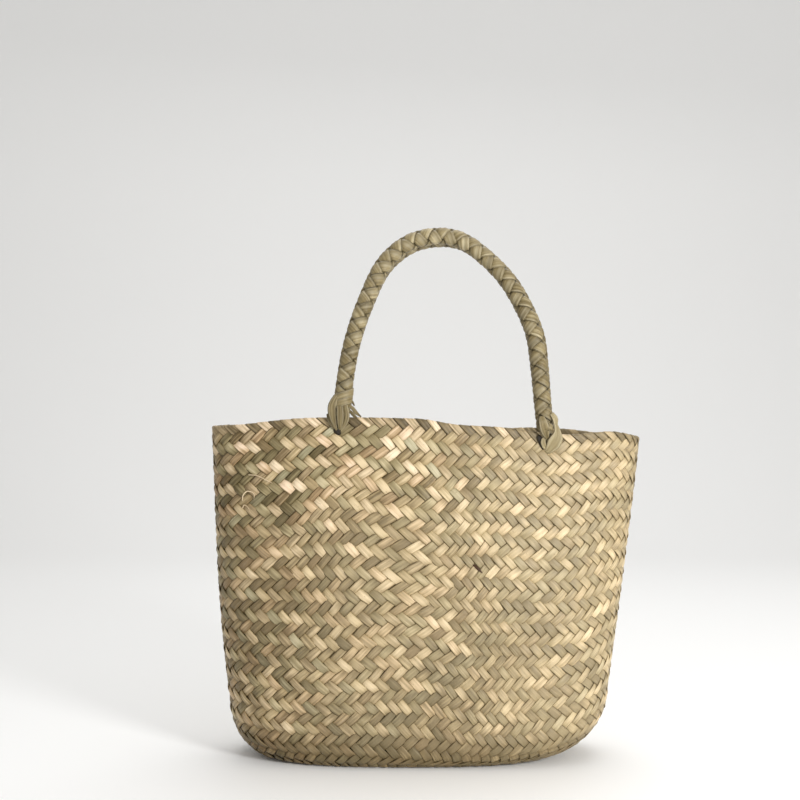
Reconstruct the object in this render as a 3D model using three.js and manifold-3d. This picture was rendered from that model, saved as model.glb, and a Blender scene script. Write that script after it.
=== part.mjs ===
// A plaited straw basket bag with two braided handles, in millimetres.
// +X is to the right seen from the front, +Y goes from the front wall to the back wall, +Z is up.
// The origin is on the floor, under the middle of the bag.
import * as THREE from "three";
import { mergeVertices } from "three/addons/utils/BufferGeometryUtils.js";
import Module from "manifold-3d";

// Basket, overall
const RIM_WIDTH = 340;
const MOUTH_DEPTH = 82;
const BODY_DEPTH = 108;
const BODY_HEIGHT = 267;
const WALL = 2.4;

// Flat part of the base, and how high the soft edge round it climbs
const FLOOR_WIDTH = 206;
const FLOOR_SHIFT = -18;
const FLOOR_DEPTH = 87;
const FLOOR_SQUARENESS = 2.5;
const LEFT_CORNER_HEIGHT = 46;
const RIGHT_CORNER_HEIGHT = 54;
const LONG_EDGE_HEIGHT = 13;

// Folded edge round the mouth
const FOLD_HEIGHT = 8.7;
const FOLD_THICKNESS = 3.2;

// Handles: four-strand round braids
const HANDLE_DIAMETER = 14;
const HANDLE_RISE = 144;
const FRONT_HANDLE_LEFT_X = -66;
const FRONT_HANDLE_SPAN = 158;
const BACK_HANDLE_LEFT_X = -69.5;
const BACK_HANDLE_SPAN = 170.5;
const HANDLE_CREST_GAP = 2;
const BRAID_PITCH = 25;
const BRAID_RELIEF = 0.55;

// Flat strands that tie the handles' ends to the wall
const STRAND_WIDTH = 9;
const STRAND_THICKNESS = 1.3;
const HOLE_DROP = 4.5;
const TIE_RISE = 8;
const TIE_LOOSENESS = 1;

// Room between pieces that touch on the real bag
const SEAT_GAP = 0.3;
const LEG_GAP = 0.5;

// How finely the surfaces are faceted
const WALL_COLUMNS = 60;
const WALL_ROWS = 13;
const EDGE_ROWS = 4;
const HANDLE_SIDES = 12;
const HANDLE_STEPS = 96;
const TIE_STEPS = 24;

// The wall's horizontal sections, from the floor up. rise is a share of BODY_HEIGHT; left and right are shares of
// half of RIM_WIDTH; narrowing is the share of the way from BODY_DEPTH to MOUTH_DEPTH; squareness is the exponent of
// the superellipse, 2 for an ellipse and more for squarer ends.
const SECTIONS = [
  { rise: 0.0, left: 0.868, right: 0.806, narrowing: 0.1, squareness: 2.9 },
  { rise: 0.2, left: 0.921, right: 0.849, narrowing: 0.0, squareness: 2.8 },
  { rise: 0.45, left: 0.962, right: 0.905, narrowing: 0.08, squareness: 2.65 },
  { rise: 0.7, left: 0.984, right: 0.958, narrowing: 0.38, squareness: 2.5 },
  { rise: 0.86, left: 0.994, right: 0.99, narrowing: 0.74, squareness: 2.4 },
  { rise: 0.93, left: 1.0, right: 1.0, narrowing: 0.9, squareness: 2.37 },
  { rise: 1.0, left: 1.0, right: 1.0, narrowing: 1.0, squareness: 2.35 },
];

// How far the rim dips below BODY_HEIGHT, as shares of it. across runs from -1 at the left end to 1 at the right.
const RIM_DIPS = [
  { across: -1.0, front: 0.03, back: 0.03 },
  { across: -0.6, front: 0.003, back: 0.016 },
  { across: -0.05, front: 0.0, back: 0.02 },
  { across: 0.14, front: 0.019, back: 0.026 },
  { across: 0.36, front: 0.029, back: 0.034 },
  { across: 0.6, front: 0.041, back: 0.04 },
  { across: 0.84, front: 0.043, back: 0.046 },
  { across: 1.0, front: 0.061, back: 0.061 },
];

// A handle's middle line, from its left leg to its right. across is a share of its span; rise is a share of
// HANDLE_RISE above BODY_HEIGHT; lean is the share of the way from the wall to the other handle's side.
const HANDLE_BENDS = [
  { across: 0.012, rise: 0.13, lean: 0.03 },
  { across: 0.051, rise: 0.393, lean: 0.24 },
  { across: 0.123, rise: 0.64, lean: 0.5 },
  { across: 0.216, rise: 0.85, lean: 0.78 },
  { across: 0.344, rise: 0.967, lean: 0.95 },
  { across: 0.489, rise: 1.0, lean: 1.0 },
  { across: 0.595, rise: 0.976, lean: 0.97 },
  { across: 0.697, rise: 0.897, lean: 0.88 },
  { across: 0.807, rise: 0.77, lean: 0.7 },
  { across: 0.885, rise: 0.627, lean: 0.52 },
  { across: 0.946, rise: 0.46, lean: 0.34 },
  { across: 0.968, rise: 0.285, lean: 0.17 },
  { across: 0.985, rise: 0.07, lean: 0.02 },
];

const STRAW = new THREE.MeshStandardMaterial({ color: 0xb9ab80, roughness: 0.62, metalness: 0 });
const RIM_STRAW = new THREE.MeshStandardMaterial({ color: 0xbdae84, roughness: 0.6, metalness: 0 });
const HANDLE_STRAW = new THREE.MeshStandardMaterial({ color: 0x98916a, roughness: 0.58, metalness: 0 });

const wasm = await Module();
wasm.setup();

// Value of one column of a table at a place along another column, on a smooth curve through the rows
function readTable(rows, along, column, place) {
  const last = rows.length - 1;
  const here = Math.min(Math.max(place, rows[0][along]), rows[last][along]);
  let i = 0;
  while (i < last - 1 && here > rows[i + 1][along]) i += 1;
  const slope = (k) => {
    const before = rows[Math.max(k - 1, 0)];
    const after = rows[Math.min(k + 1, last)];
    return (after[column] - before[column]) / (after[along] - before[along]);
  };
  const step = rows[i + 1][along] - rows[i][along];
  const t = (here - rows[i][along]) / step;
  const startWeight = (1 + 2 * t) * (1 - t) ** 2;
  const endWeight = t * t * (3 - 2 * t);
  const startSlope = t * (1 - t) ** 2 * step * slope(i);
  const endSlope = t * t * (t - 1) * step * slope(i + 1);
  return startWeight * rows[i][column] + endWeight * rows[i + 1][column] + startSlope + endSlope;
}

// Quarter of a superellipse, measured along its length: turn 0 is at the end of the bag, 1 at its middle
function quarterPoint(halfWidth, halfDepth, squareness, turn) {
  const fineSteps = 90;
  const points = [];
  const lengths = [0];
  for (let i = 0; i <= fineSteps; i += 1) {
    const angle = (i / fineSteps) * (Math.PI / 2);
    const x = halfWidth * Math.cos(angle) ** (2 / squareness);
    const y = halfDepth * Math.sin(angle) ** (2 / squareness);
    points.push(new THREE.Vector2(x, y));
    if (i > 0) lengths.push(lengths[i - 1] + points[i].distanceTo(points[i - 1]));
  }
  const goal = turn * lengths[fineSteps];
  let k = 1;
  while (k < fineSteps && lengths[k] < goal) k += 1;
  const share = (goal - lengths[k - 1]) / (lengths[k] - lengths[k - 1]);
  return points[k - 1].clone().lerp(points[k], share);
}

// A point of a whole section. turn goes round once: the right end, the back, the left end, the front.
function sectionPoint(section, turn) {
  const quarter = Math.floor(turn * 4) % 4;
  const within = turn * 4 - Math.floor(turn * 4);
  const fromEnd = quarter % 2 === 0 ? within : 1 - within;
  const onRight = quarter === 0 || quarter === 3;
  const onBack = quarter < 2;
  const halfWidth = onRight ? section.right : section.left;
  const point = quarterPoint(halfWidth, section.halfDepth, section.squareness, fromEnd);
  return new THREE.Vector2((onRight ? 1 : -1) * point.x + section.shift, (onBack ? 1 : -1) * point.y);
}

function wallSection(height) {
  const rise = height / BODY_HEIGHT;
  const column = (name) => readTable(SECTIONS, "rise", name, rise);
  const depth = THREE.MathUtils.lerp(BODY_DEPTH, MOUTH_DEPTH, column("narrowing"));
  return {
    left: (column("left") * RIM_WIDTH) / 2,
    right: (column("right") * RIM_WIDTH) / 2,
    halfDepth: depth / 2,
    squareness: column("squareness"),
    shift: 0,
  };
}

const FLOOR_SECTION = {
  left: FLOOR_WIDTH / 2,
  right: FLOOR_WIDTH / 2,
  halfDepth: FLOOR_DEPTH / 2,
  squareness: FLOOR_SQUARENESS,
  shift: FLOOR_SHIFT,
};

// Height of the rim's top at a place across the bag, on the front wall or the back wall
function rimHeight(x, onBack) {
  const across = x / (RIM_WIDTH / 2);
  return BODY_HEIGHT * (1 - readTable(RIM_DIPS, "across", onBack ? "back" : "front", across));
}

function rimHeightAtTurn(turn) {
  const around = turn - Math.floor(turn);
  return rimHeight(sectionPoint(wallSection(BODY_HEIGHT), around).x, around < 0.5);
}

// Height at which the base's soft edge runs into the wall: low on the long sides, high at the corners
function edgeHeight(turn) {
  const around = turn - Math.floor(turn);
  const point = sectionPoint(FLOOR_SECTION, around);
  const across = (point.x - FLOOR_SHIFT) / (FLOOR_WIDTH / 2);
  const corner = across < 0 ? LEFT_CORNER_HEIGHT : RIGHT_CORNER_HEIGHT;
  return THREE.MathUtils.lerp(LONG_EDGE_HEIGHT, corner, Math.abs(across) ** 4);
}

// A point of the basket's outer face. climb 0 to 1 is the soft edge of the base, 1 to 2 the wall up to height top.
function facePoint(turn, climb, top) {
  const around = turn - Math.floor(turn);
  const edge = edgeHeight(around);
  if (climb <= 1) {
    const bend = (climb * Math.PI) / 2;
    const low = sectionPoint(FLOOR_SECTION, around);
    const high = sectionPoint(wallSection(edge), around);
    const flat = low.lerp(high, Math.sin(bend));
    return new THREE.Vector3(flat.x, flat.y, edge * (1 - Math.cos(bend)));
  }
  const height = THREE.MathUtils.lerp(edge, top, climb - 1);
  const flat = sectionPoint(wallSection(height), around);
  return new THREE.Vector3(flat.x, flat.y, height);
}

// The outer face's outward normal, from short steps on it
function faceNormal(turn, climb, top) {
  const turnStep = 0.002;
  const climbStep = 0.01;
  const lower = Math.max(climb - climbStep, 0);
  const upper = Math.min(climb + climbStep, 2);
  const round = facePoint(turn + turnStep, climb, top).sub(facePoint(turn - turnStep + 1, climb, top));
  const up = facePoint(turn, upper, top).sub(facePoint(turn, lower, top));
  return round.cross(up).normalize();
}

// A closed geometry from rings of points. Each ring joins the next; a sleeve's last ring joins its first, and a
// capped one is closed by a fan at each end.
function loftedGeometry(rings, sleeve) {
  const sides = rings[0].length;
  const positions = [];
  const faces = [];
  for (const ring of rings) {
    for (const point of ring) positions.push(point.x, point.y, point.z);
  }
  const bands = sleeve ? rings.length : rings.length - 1;
  for (let r = 0; r < bands; r += 1) {
    const here = r * sides;
    const next = ((r + 1) % rings.length) * sides;
    for (let i = 0; i < sides; i += 1) {
      const j = (i + 1) % sides;
      faces.push(here + i, here + j, next + j, here + i, next + j, next + i);
    }
  }
  if (!sleeve) {
    for (const [ring, first, turned] of [[rings[0], 0, true], [rings.at(-1), (rings.length - 1) * sides, false]]) {
      const middle = ring.reduce((sum, point) => sum.add(point), new THREE.Vector3()).divideScalar(sides);
      const centre = positions.length / 3;
      positions.push(middle.x, middle.y, middle.z);
      for (let i = 0; i < sides; i += 1) {
        const j = (i + 1) % sides;
        if (turned) faces.push(centre, first + j, first + i);
        else faces.push(centre, first + i, first + j);
      }
    }
  }
  const geometry = new THREE.BufferGeometry();
  geometry.setAttribute("position", new THREE.Float32BufferAttribute(positions, 3));
  geometry.setIndex(faces);
  return geometry;
}

function solidOf(geometry) {
  const bare = geometry.clone();
  bare.deleteAttribute("normal");
  bare.deleteAttribute("uv");
  const merged = mergeVertices(bare, 1e-3);
  const vertProperties = new Float32Array(merged.attributes.position.array);
  const triVerts = new Uint32Array(merged.index.array);
  return new wasm.Manifold(new wasm.Mesh({ numProp: 3, vertProperties, triVerts }));
}

function geometryOf(solid) {
  const mesh = solid.getMesh();
  const geometry = new THREE.BufferGeometry();
  geometry.setAttribute("position", new THREE.BufferAttribute(mesh.vertProperties, 3));
  geometry.setIndex(new THREE.BufferAttribute(mesh.triVerts, 1));
  return geometry;
}

function namedMesh(name, geometry, material) {
  const shaded = geometry.toNonIndexed();
  shaded.computeVertexNormals();
  const mesh = new THREE.Mesh(shaded, material);
  mesh.name = name;
  return mesh;
}

// The hollow shell: up the outer face, over the wall's top and down the inner face
function bodyGeometry() {
  const climbs = [];
  for (let i = 0; i < EDGE_ROWS; i += 1) climbs.push(i / EDGE_ROWS);
  for (let i = 0; i <= WALL_ROWS; i += 1) climbs.push(1 + i / WALL_ROWS);
  const outer = [];
  const inner = [];
  for (const climb of climbs) {
    const outerRing = [];
    const innerRing = [];
    for (let i = 0; i < WALL_COLUMNS; i += 1) {
      const turn = i / WALL_COLUMNS;
      const top = rimHeightAtTurn(turn) - FOLD_HEIGHT - SEAT_GAP;
      const point = facePoint(turn, climb, top);
      const inward = faceNormal(turn, climb, top).multiplyScalar(-WALL);
      if (climb === 0) inward.set(0, 0, WALL);
      if (climb === 2) inward.setZ(0).setLength(WALL);
      outerRing.push(point);
      innerRing.push(point.clone().add(inward));
    }
    outer.push(outerRing);
    inner.unshift(innerRing);
  }
  return loftedGeometry([...outer, ...inner], false);
}

// Middle of the folded edge's top, at a place across the bag, with the wall's outward direction there
function wallSeat(x, onBack) {
  const rim = rimHeight(x, onBack);
  const section = wallSection(rim - FOLD_HEIGHT);
  const halfWidth = x < 0 ? section.left : section.right;
  const share = Math.abs(x) / halfWidth;
  const squareness = section.squareness;
  const side = onBack ? 1 : -1;
  const y = section.halfDepth * (1 - share ** squareness) ** (1 / squareness);
  const steepX = (Math.sign(x) * share ** (squareness - 1)) / halfWidth;
  const steepY = (y / section.halfDepth) ** (squareness - 1) / section.halfDepth;
  const outward = new THREE.Vector3(steepX, side * steepY, 0).normalize();
  const middle = new THREE.Vector3(x, side * y, rim).addScaledVector(outward, -WALL / 2);
  return { middle, outward };
}

// The folded edge: a band with a rounded top, centred over the wall
function rimFoldGeometry() {
  const half = FOLD_THICKNESS / 2;
  const profile = [
    { out: half, down: FOLD_HEIGHT },
    { out: half, down: half },
    { out: half * 0.6, down: 0 },
    { out: -half * 0.6, down: 0 },
    { out: -half, down: half },
    { out: -half, down: FOLD_HEIGHT },
  ];
  const rings = [];
  for (let i = 0; i < WALL_COLUMNS; i += 1) {
    const turn = i / WALL_COLUMNS;
    const rim = rimHeightAtTurn(turn);
    const point = facePoint(turn, 2, rim - FOLD_HEIGHT);
    const outward = faceNormal(turn, 2, rim - FOLD_HEIGHT).setZ(0).normalize();
    const ring = profile.map(({ out, down }) => {
      const place = point.clone().addScaledVector(outward, out - WALL / 2);
      return place.setZ(rim - down);
    });
    rings.push(ring.reverse());
  }
  return loftedGeometry(rings, true);
}

// Middle line of a handle, from the seat of its left leg on the rim to that of its right leg
function handleCurve(leftX, span, onBack) {
  const side = onBack ? 1 : -1;
  const reach = HANDLE_DIAMETER / 2 + BRAID_RELIEF;
  const crestY = side * (reach + HANDLE_CREST_GAP / 2);
  const legs = [leftX, leftX + span].map((x) => {
    const highestRim = Math.max(...[-reach, 0, reach].map((off) => rimHeight(x + off, onBack)));
    return wallSeat(x, onBack).middle.setZ(highestRim + LEG_GAP);
  });
  const bends = HANDLE_BENDS.map(({ across, rise, lean }) => {
    const wallY = THREE.MathUtils.lerp(legs[0].y, legs[1].y, across);
    const y = THREE.MathUtils.lerp(wallY, crestY, lean);
    return new THREE.Vector3(leftX + across * span, y, BODY_HEIGHT + rise * HANDLE_RISE);
  });
  return new THREE.CatmullRomCurve3([legs[0], ...bends, legs[1]], false, "centripetal");
}

// A round braid: where its four strands cross over, the surface swells, and between them it dips
function handleGeometry(curve) {
  const length = curve.getLength();
  const start = curve.getPointAt(0);
  const end = curve.getPointAt(1);
  const crest = curve.getPointAt(0.5);
  const across = end.clone().sub(start);
  const facing = crest.clone().sub(start).cross(across).normalize();
  const rings = [];
  for (let k = 0; k <= HANDLE_STEPS; k += 1) {
    const along = k / HANDLE_STEPS;
    const centre = curve.getPointAt(along);
    const forward = curve.getTangentAt(along);
    if (k === 0) forward.set(0, 0, 1);
    if (k === HANDLE_STEPS) forward.set(0, 0, -1);
    const side = facing.clone().addScaledVector(forward, -facing.dot(forward)).normalize();
    const outward = forward.clone().cross(side);
    const wave = Math.cos((2 * Math.PI * along * length) / BRAID_PITCH);
    const ring = [];
    for (let i = 0; i < HANDLE_SIDES; i += 1) {
      const angle = (2 * Math.PI * i) / HANDLE_SIDES;
      const radius = HANDLE_DIAMETER / 2 + BRAID_RELIEF * wave * Math.cos(2 * angle);
      const spoke = side.clone().multiplyScalar(Math.cos(angle)).addScaledVector(outward, Math.sin(angle));
      ring.push(centre.clone().addScaledVector(spoke, radius));
    }
    rings.push(ring);
  }
  return loftedGeometry(rings, false);
}

// A flat strand tied in a ring: through the handle's leg, down both faces of the rim and through the wall under it.
// room widens the strand on every side, to cut the slots that it passes through.
function tieGeometry(x, onBack, room) {
  const { middle, outward } = wallSeat(x, onBack);
  const halfThick = STRAND_THICKNESS / 2;
  const legReach = HANDLE_DIAMETER / 2 + BRAID_RELIEF + halfThick + TIE_LOOSENESS;
  const rimReach = FOLD_THICKNESS / 2 + halfThick + TIE_LOOSENESS;
  const rows = [
    { out: 0, up: TIE_RISE + LEG_GAP },
    { out: legReach * 0.7, up: TIE_RISE + LEG_GAP },
    { out: legReach, up: TIE_RISE * 0.6 },
    { out: legReach * 0.9, up: 0 },
    { out: rimReach, up: -FOLD_HEIGHT },
    { out: 0, up: -FOLD_HEIGHT - HOLE_DROP },
  ];
  const down = rows.slice(1, -1);
  const path = [rows[0], ...down, rows.at(-1), ...down.reverse().map(({ out, up }) => ({ out: -out, up }))];
  const points = path.map(({ out, up }) => {
    const place = middle.clone().addScaledVector(outward, out);
    return place.setZ(middle.z + up);
  });
  const curve = new THREE.CatmullRomCurve3(points, true, "centripetal");
  const breadth = new THREE.Vector3(0, 0, 1).cross(outward).normalize();
  const halfWide = STRAND_WIDTH / 2 + room;
  const thick = halfThick + room;
  const profile = [
    { wide: halfWide, deep: 0 },
    { wide: halfWide * 0.75, deep: -thick },
    { wide: -halfWide * 0.75, deep: -thick },
    { wide: -halfWide, deep: 0 },
    { wide: -halfWide * 0.75, deep: thick },
    { wide: halfWide * 0.75, deep: thick },
  ];
  const rings = [];
  for (let k = 0; k < TIE_STEPS; k += 1) {
    const centre = curve.getPointAt(k / TIE_STEPS);
    const forward = curve.getTangentAt(k / TIE_STEPS);
    const depth = breadth.clone().cross(forward).normalize();
    rings.push(
      profile.map(({ wide, deep }) => centre.clone().addScaledVector(breadth, wide).addScaledVector(depth, deep)),
    );
  }
  return loftedGeometry(rings, true);
}

const HANDLES = [
  { side: "front", leftX: FRONT_HANDLE_LEFT_X, span: FRONT_HANDLE_SPAN, onBack: false },
  { side: "back", leftX: BACK_HANDLE_LEFT_X, span: BACK_HANDLE_SPAN, onBack: true },
];

const bag = new THREE.Group();
let body = solidOf(bodyGeometry());

for (const { side, leftX, span, onBack } of HANDLES) {
  const assembly = new THREE.Group();
  let handle = solidOf(handleGeometry(handleCurve(leftX, span, onBack)));
  for (const [end, x] of [["left", leftX], ["right", leftX + span]]) {
    const slot = solidOf(tieGeometry(x, onBack, SEAT_GAP));
    body = body.subtract(slot);
    handle = handle.subtract(slot);
    assembly.add(namedMesh(`${side}_${end}_loop`, tieGeometry(x, onBack, 0), HANDLE_STRAW));
  }
  assembly.add(namedMesh(`handle_${side}`, geometryOf(handle), HANDLE_STRAW));
  bag.add(assembly);
}

bag.add(namedMesh("basket_body", geometryOf(body), STRAW));
bag.add(namedMesh("rim_fold", rimFoldGeometry(), RIM_STRAW));

export default bag;
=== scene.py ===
"""A plaited straw handbag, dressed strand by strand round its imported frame. Lengths are in metres."""

import logging
import math
from dataclasses import dataclass, field
from enum import Enum

import bpy
import numpy as np
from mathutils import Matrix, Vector


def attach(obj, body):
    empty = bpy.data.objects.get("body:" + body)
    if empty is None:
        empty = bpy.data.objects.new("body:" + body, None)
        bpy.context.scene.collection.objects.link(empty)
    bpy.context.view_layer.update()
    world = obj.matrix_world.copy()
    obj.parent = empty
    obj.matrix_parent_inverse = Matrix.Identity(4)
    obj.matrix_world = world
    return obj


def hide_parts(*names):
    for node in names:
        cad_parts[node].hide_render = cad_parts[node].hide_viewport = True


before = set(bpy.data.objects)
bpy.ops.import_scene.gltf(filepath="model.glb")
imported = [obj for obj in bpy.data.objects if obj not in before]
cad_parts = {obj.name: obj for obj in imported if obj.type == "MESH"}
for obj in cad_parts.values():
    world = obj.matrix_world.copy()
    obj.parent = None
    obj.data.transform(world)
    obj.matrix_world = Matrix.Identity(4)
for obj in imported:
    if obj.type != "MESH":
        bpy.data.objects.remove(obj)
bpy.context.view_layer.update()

LOG = logging.getLogger("straw_bag")
Array = np.ndarray
MM = 0.001
UP = np.array([0.0, 0.0, 1.0])
TINY = 1e-6
NO_LENGTH = 1e-12
CURVE_STEPS = 60

# The curve by which screens store brightness: straight up to its knee, then a power
SCREEN_FULL = 255
SCREEN_KNEE = 0.04045
SCREEN_SLOPE = 12.92
SCREEN_OFFSET = 0.055
SCREEN_POWER = 2.4


def unit(vectors: Array) -> Array:
    """Scale vectors to length one along their last axis.

    Args:
        vectors: Vectors along the last axis.

    Returns:
        Vectors of length one.
    """
    return vectors / np.maximum(np.linalg.norm(vectors, axis=-1, keepdims=True), NO_LENGTH)


def smooth(low: float, high: float, value: Array) -> Array:
    """Ease from 0 to 1 as a value goes from low to high.

    Args:
        low: Where the easing is 0; it may lie above the other end.
        high: Where it is 1.
        value: The values to ease.

    Returns:
        The eased values.
    """
    t = np.clip((value - low) / (high - low), 0.0, 1.0)
    return t * t * (3 - 2 * t)


def blend(start: Array, end: Array, share: Array) -> Array:
    """Mix two arrays.

    Args:
        start: Values at a share of 0.
        end: Values at a share of 1.
        share: The share, which may vary from point to point.

    Returns:
        The mixed values.
    """
    return start + (end - start) * share


def read_table(rows: tuple, along: str, column: str, places: Array) -> Array:
    """Read a column of a table on a smooth curve through its rows.

    Args:
        rows: Rows of one dataclass, in rising order of the column ``along``.
        along: Name of the column that places are measured on.
        column: Name of the column to read.
        places: Places to read at.

    Returns:
        The column's values at the places.
    """
    xs = np.array([getattr(row, along) for row in rows])
    ys = np.array([getattr(row, column) for row in rows])
    slopes = np.empty_like(ys)
    slopes[1:-1] = (ys[2:] - ys[:-2]) / (xs[2:] - xs[:-2])
    slopes[0] = (ys[1] - ys[0]) / (xs[1] - xs[0])
    slopes[-1] = (ys[-1] - ys[-2]) / (xs[-1] - xs[-2])
    here = np.clip(places, xs[0], xs[-1])
    i = np.clip(np.searchsorted(xs, here, side="right") - 1, 0, len(xs) - 2)
    step = xs[i + 1] - xs[i]
    t = (here - xs[i]) / step
    start = (1 + 2 * t) * (1 - t) ** 2 * ys[i] + t * (1 - t) ** 2 * step * slopes[i]
    end = t * t * (3 - 2 * t) * ys[i + 1] + t * t * (t - 1) * step * slopes[i + 1]
    return start + end


class Tone(Enum):
    """The colours that a straw strand dries to."""

    OLIVE = 0
    STRAW = 1
    CREAM = 2
    BLUSH = 3
    SAGE = 4


class Side(Enum):
    """Which wall something belongs to, as the sign of Y."""

    FRONT = -1
    BACK = 1


class Border(Enum):
    """A side of the base's rectangle."""

    FRONT = 0
    RIGHT = 1
    BACK = 2
    LEFT = 3


class End(Enum):
    """Which end of a handle something belongs to."""

    LEFT = "left"
    RIGHT = "right"


# Shader maths


@dataclass(frozen=True)
class Grain:
    """A noise over a strand: its scale along the fibres, across them and between strands, and its detail."""

    scale: tuple
    detail: float = 1.0
    roughness: float = 0.5


class Value:
    """A number in a shader, so that maths on it reads as an expression."""

    def __init__(self, shader: "Shader", socket: bpy.types.NodeSocket) -> None:
        """Wrap a socket of a shader's tree."""
        self.shader = shader
        self.socket = socket

    def _math(self, operation: str, first: object, second: object) -> "Value":
        """Add one Math node."""
        node = self.shader.add("ShaderNodeMath", {"operation": operation}, {0: first, 1: second})
        return Value(self.shader, node.outputs[0])

    def __add__(self, other: object) -> "Value":
        """Add."""
        return self._math("ADD", self, other)

    def __radd__(self, other: object) -> "Value":
        """Add, reflected."""
        return self._math("ADD", other, self)

    def __sub__(self, other: object) -> "Value":
        """Subtract."""
        return self._math("SUBTRACT", self, other)

    def __rsub__(self, other: object) -> "Value":
        """Subtract, reflected."""
        return self._math("SUBTRACT", other, self)

    def __mul__(self, other: object) -> "Value":
        """Multiply."""
        return self._math("MULTIPLY", self, other)

    def __rmul__(self, other: object) -> "Value":
        """Multiply, reflected."""
        return self._math("MULTIPLY", other, self)

    def __pow__(self, other: object) -> "Value":
        """Raise to a power."""
        return self._math("POWER", self, other)

    def __abs__(self) -> "Value":
        """Drop the sign."""
        return self._math("ABSOLUTE", self, 0.0)

    def step(self, low: float, high: float) -> "Value":
        """Ease from 0 to 1 between two values.

        Args:
            low: Where it is 0; it may lie above the other end.
            high: Where it is 1.

        Returns:
            The eased value.
        """
        node = self.shader.add(
            "ShaderNodeMapRange",
            {"interpolation_type": "SMOOTHSTEP"},
            {"Value": self, "From Min": low, "From Max": high},
        )
        return Value(self.shader, node.outputs["Result"])


class Shader:
    """One material's node tree."""

    def __init__(self, name: str) -> None:
        """Start an empty material.

        Args:
            name: The material's name.
        """
        self.material = bpy.data.materials.new(name)
        self.material.use_nodes = True
        self.tree = self.material.node_tree
        self.tree.nodes.clear()

    def add(self, kind: str, settings: dict | None = None, inputs: dict | None = None) -> bpy.types.Node:
        """Add a node.

        Args:
            kind: The node's type.
            settings: Its own settings; "stops" is a ramp's list of places and colours.
            inputs: Values or links by socket name or number.

        Returns:
            The new node.
        """
        node = self.tree.nodes.new(kind)
        for key, value in (settings or {}).items():
            if key == "stops":
                self._set_stops(node.color_ramp, value)
            else:
                setattr(node, key, value)
        for key, value in (inputs or {}).items():
            if isinstance(value, Value):
                self.tree.links.new(value.socket, node.inputs[key])
            elif isinstance(value, bpy.types.NodeSocket):
                self.tree.links.new(value, node.inputs[key])
            else:
                node.inputs[key].default_value = value
        return node

    @staticmethod
    def _set_stops(ramp: bpy.types.ColorRamp, stops: list) -> None:
        """Fill a ramp with places and colours.

        Args:
            ramp: The ramp to fill.
            stops: Pairs of a place from 0 to 1 and a colour.
        """
        while len(ramp.elements) < len(stops):
            ramp.elements.new(0.5)
        for element, (place, colour) in zip(ramp.elements, stops, strict=True):
            element.position = place
            element.color = (*colour, 1.0)

    def attribute(self, name: str) -> bpy.types.Node:
        """Read a mesh attribute."""
        return self.add("ShaderNodeAttribute", {"attribute_name": name})

    def grain(self, fibre: bpy.types.NodeSocket, grain: Grain) -> Value:
        """Read a noise that is stretched along the fibres.

        Args:
            fibre: The mesh's fibre attribute.
            grain: The noise's scale and detail.

        Returns:
            The noise, from 0 to 1.
        """
        scaled = self.add("ShaderNodeVectorMath", {"operation": "MULTIPLY"}, {0: fibre, 1: grain.scale})
        node = self.add(
            "ShaderNodeTexNoise",
            {"noise_dimensions": "3D"},
            {"Vector": scaled.outputs[0], "Scale": 1.0, "Detail": grain.detail, "Roughness": grain.roughness},
        )
        return Value(self, node.outputs[0])

    def mix(self, share: object, first: object, second: object, how: str = "MIX") -> bpy.types.NodeSocket:
        """Mix two colours.

        Args:
            share: How much of the second colour.
            first: A colour or a socket.
            second: A colour or a socket.
            how: The blend type.

        Returns:
            The mixed colour's socket.
        """
        settings = {"data_type": "RGBA", "blend_type": how, "clamp_factor": True}
        colours = [c if isinstance(c, bpy.types.NodeSocket) else (*c, 1.0) for c in (first, second)]
        return self.add("ShaderNodeMix", settings, {0: share, 6: colours[0], 7: colours[1]}).outputs[2]

    def ramp(self, value: Value, stops: list) -> bpy.types.NodeSocket:
        """Turn a number into a colour."""
        return self.add("ShaderNodeValToRGB", {"stops": stops}, {"Fac": value}).outputs[0]

    def finish(self, inputs: dict) -> bpy.types.Material:
        """End the tree in a Principled shader.

        Args:
            inputs: Values or links of the shader's sockets.

        Returns:
            The material.
        """
        surface = self.add("ShaderNodeBsdfPrincipled", None, inputs)
        self.add("ShaderNodeOutputMaterial", None, {"Surface": surface.outputs[0]})
        return self.material


@dataclass(frozen=True)
class Band:
    """The values of a noise or a place between which a mark appears, and how strong it gets."""

    low: float
    high: float
    strength: float = 1.0

    def share(self, value: Value) -> Value:
        """Turn a value into the mark's share."""
        return value.step(self.low, self.high) * self.strength


STREAKS = Grain((45.0, 1500.0, 31.0), 4.0, 0.68)
RIBS = Grain((26.0, 600.0, 17.0))
CLOUDS = Grain((60.0, 150.0, 13.0), 2.0)
SPOTS = Grain((240.0, 620.0, 7.0), 2.0, 0.6)
# Noise that varies the painted shade along the strands' edges
EDGE_SHADE_NOISE = Grain((95.0, 40.0, 23.0))
NOISE_MIDDLE = 0.5

FIBRE_GAPS = Band(0.56, 0.72, 0.4)
GLINTS = Band(0.43, 0.3, 0.12)
STAINS = Band(0.64, 0.76, 0.5)
# Band across a strand where its edges get painted shade
SHADED_EDGES = Band(0.66, 1.0)
# Band across a strand where its edges get a painted highlight
HIGHLIGHT_EDGES = Band(0.5, 0.82)

# A shadow on straw is warm: it dims green and blue by these powers of what it dims red by
SHADOW_GREEN = 1.12
SHADOW_BLUE = 1.5


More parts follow.
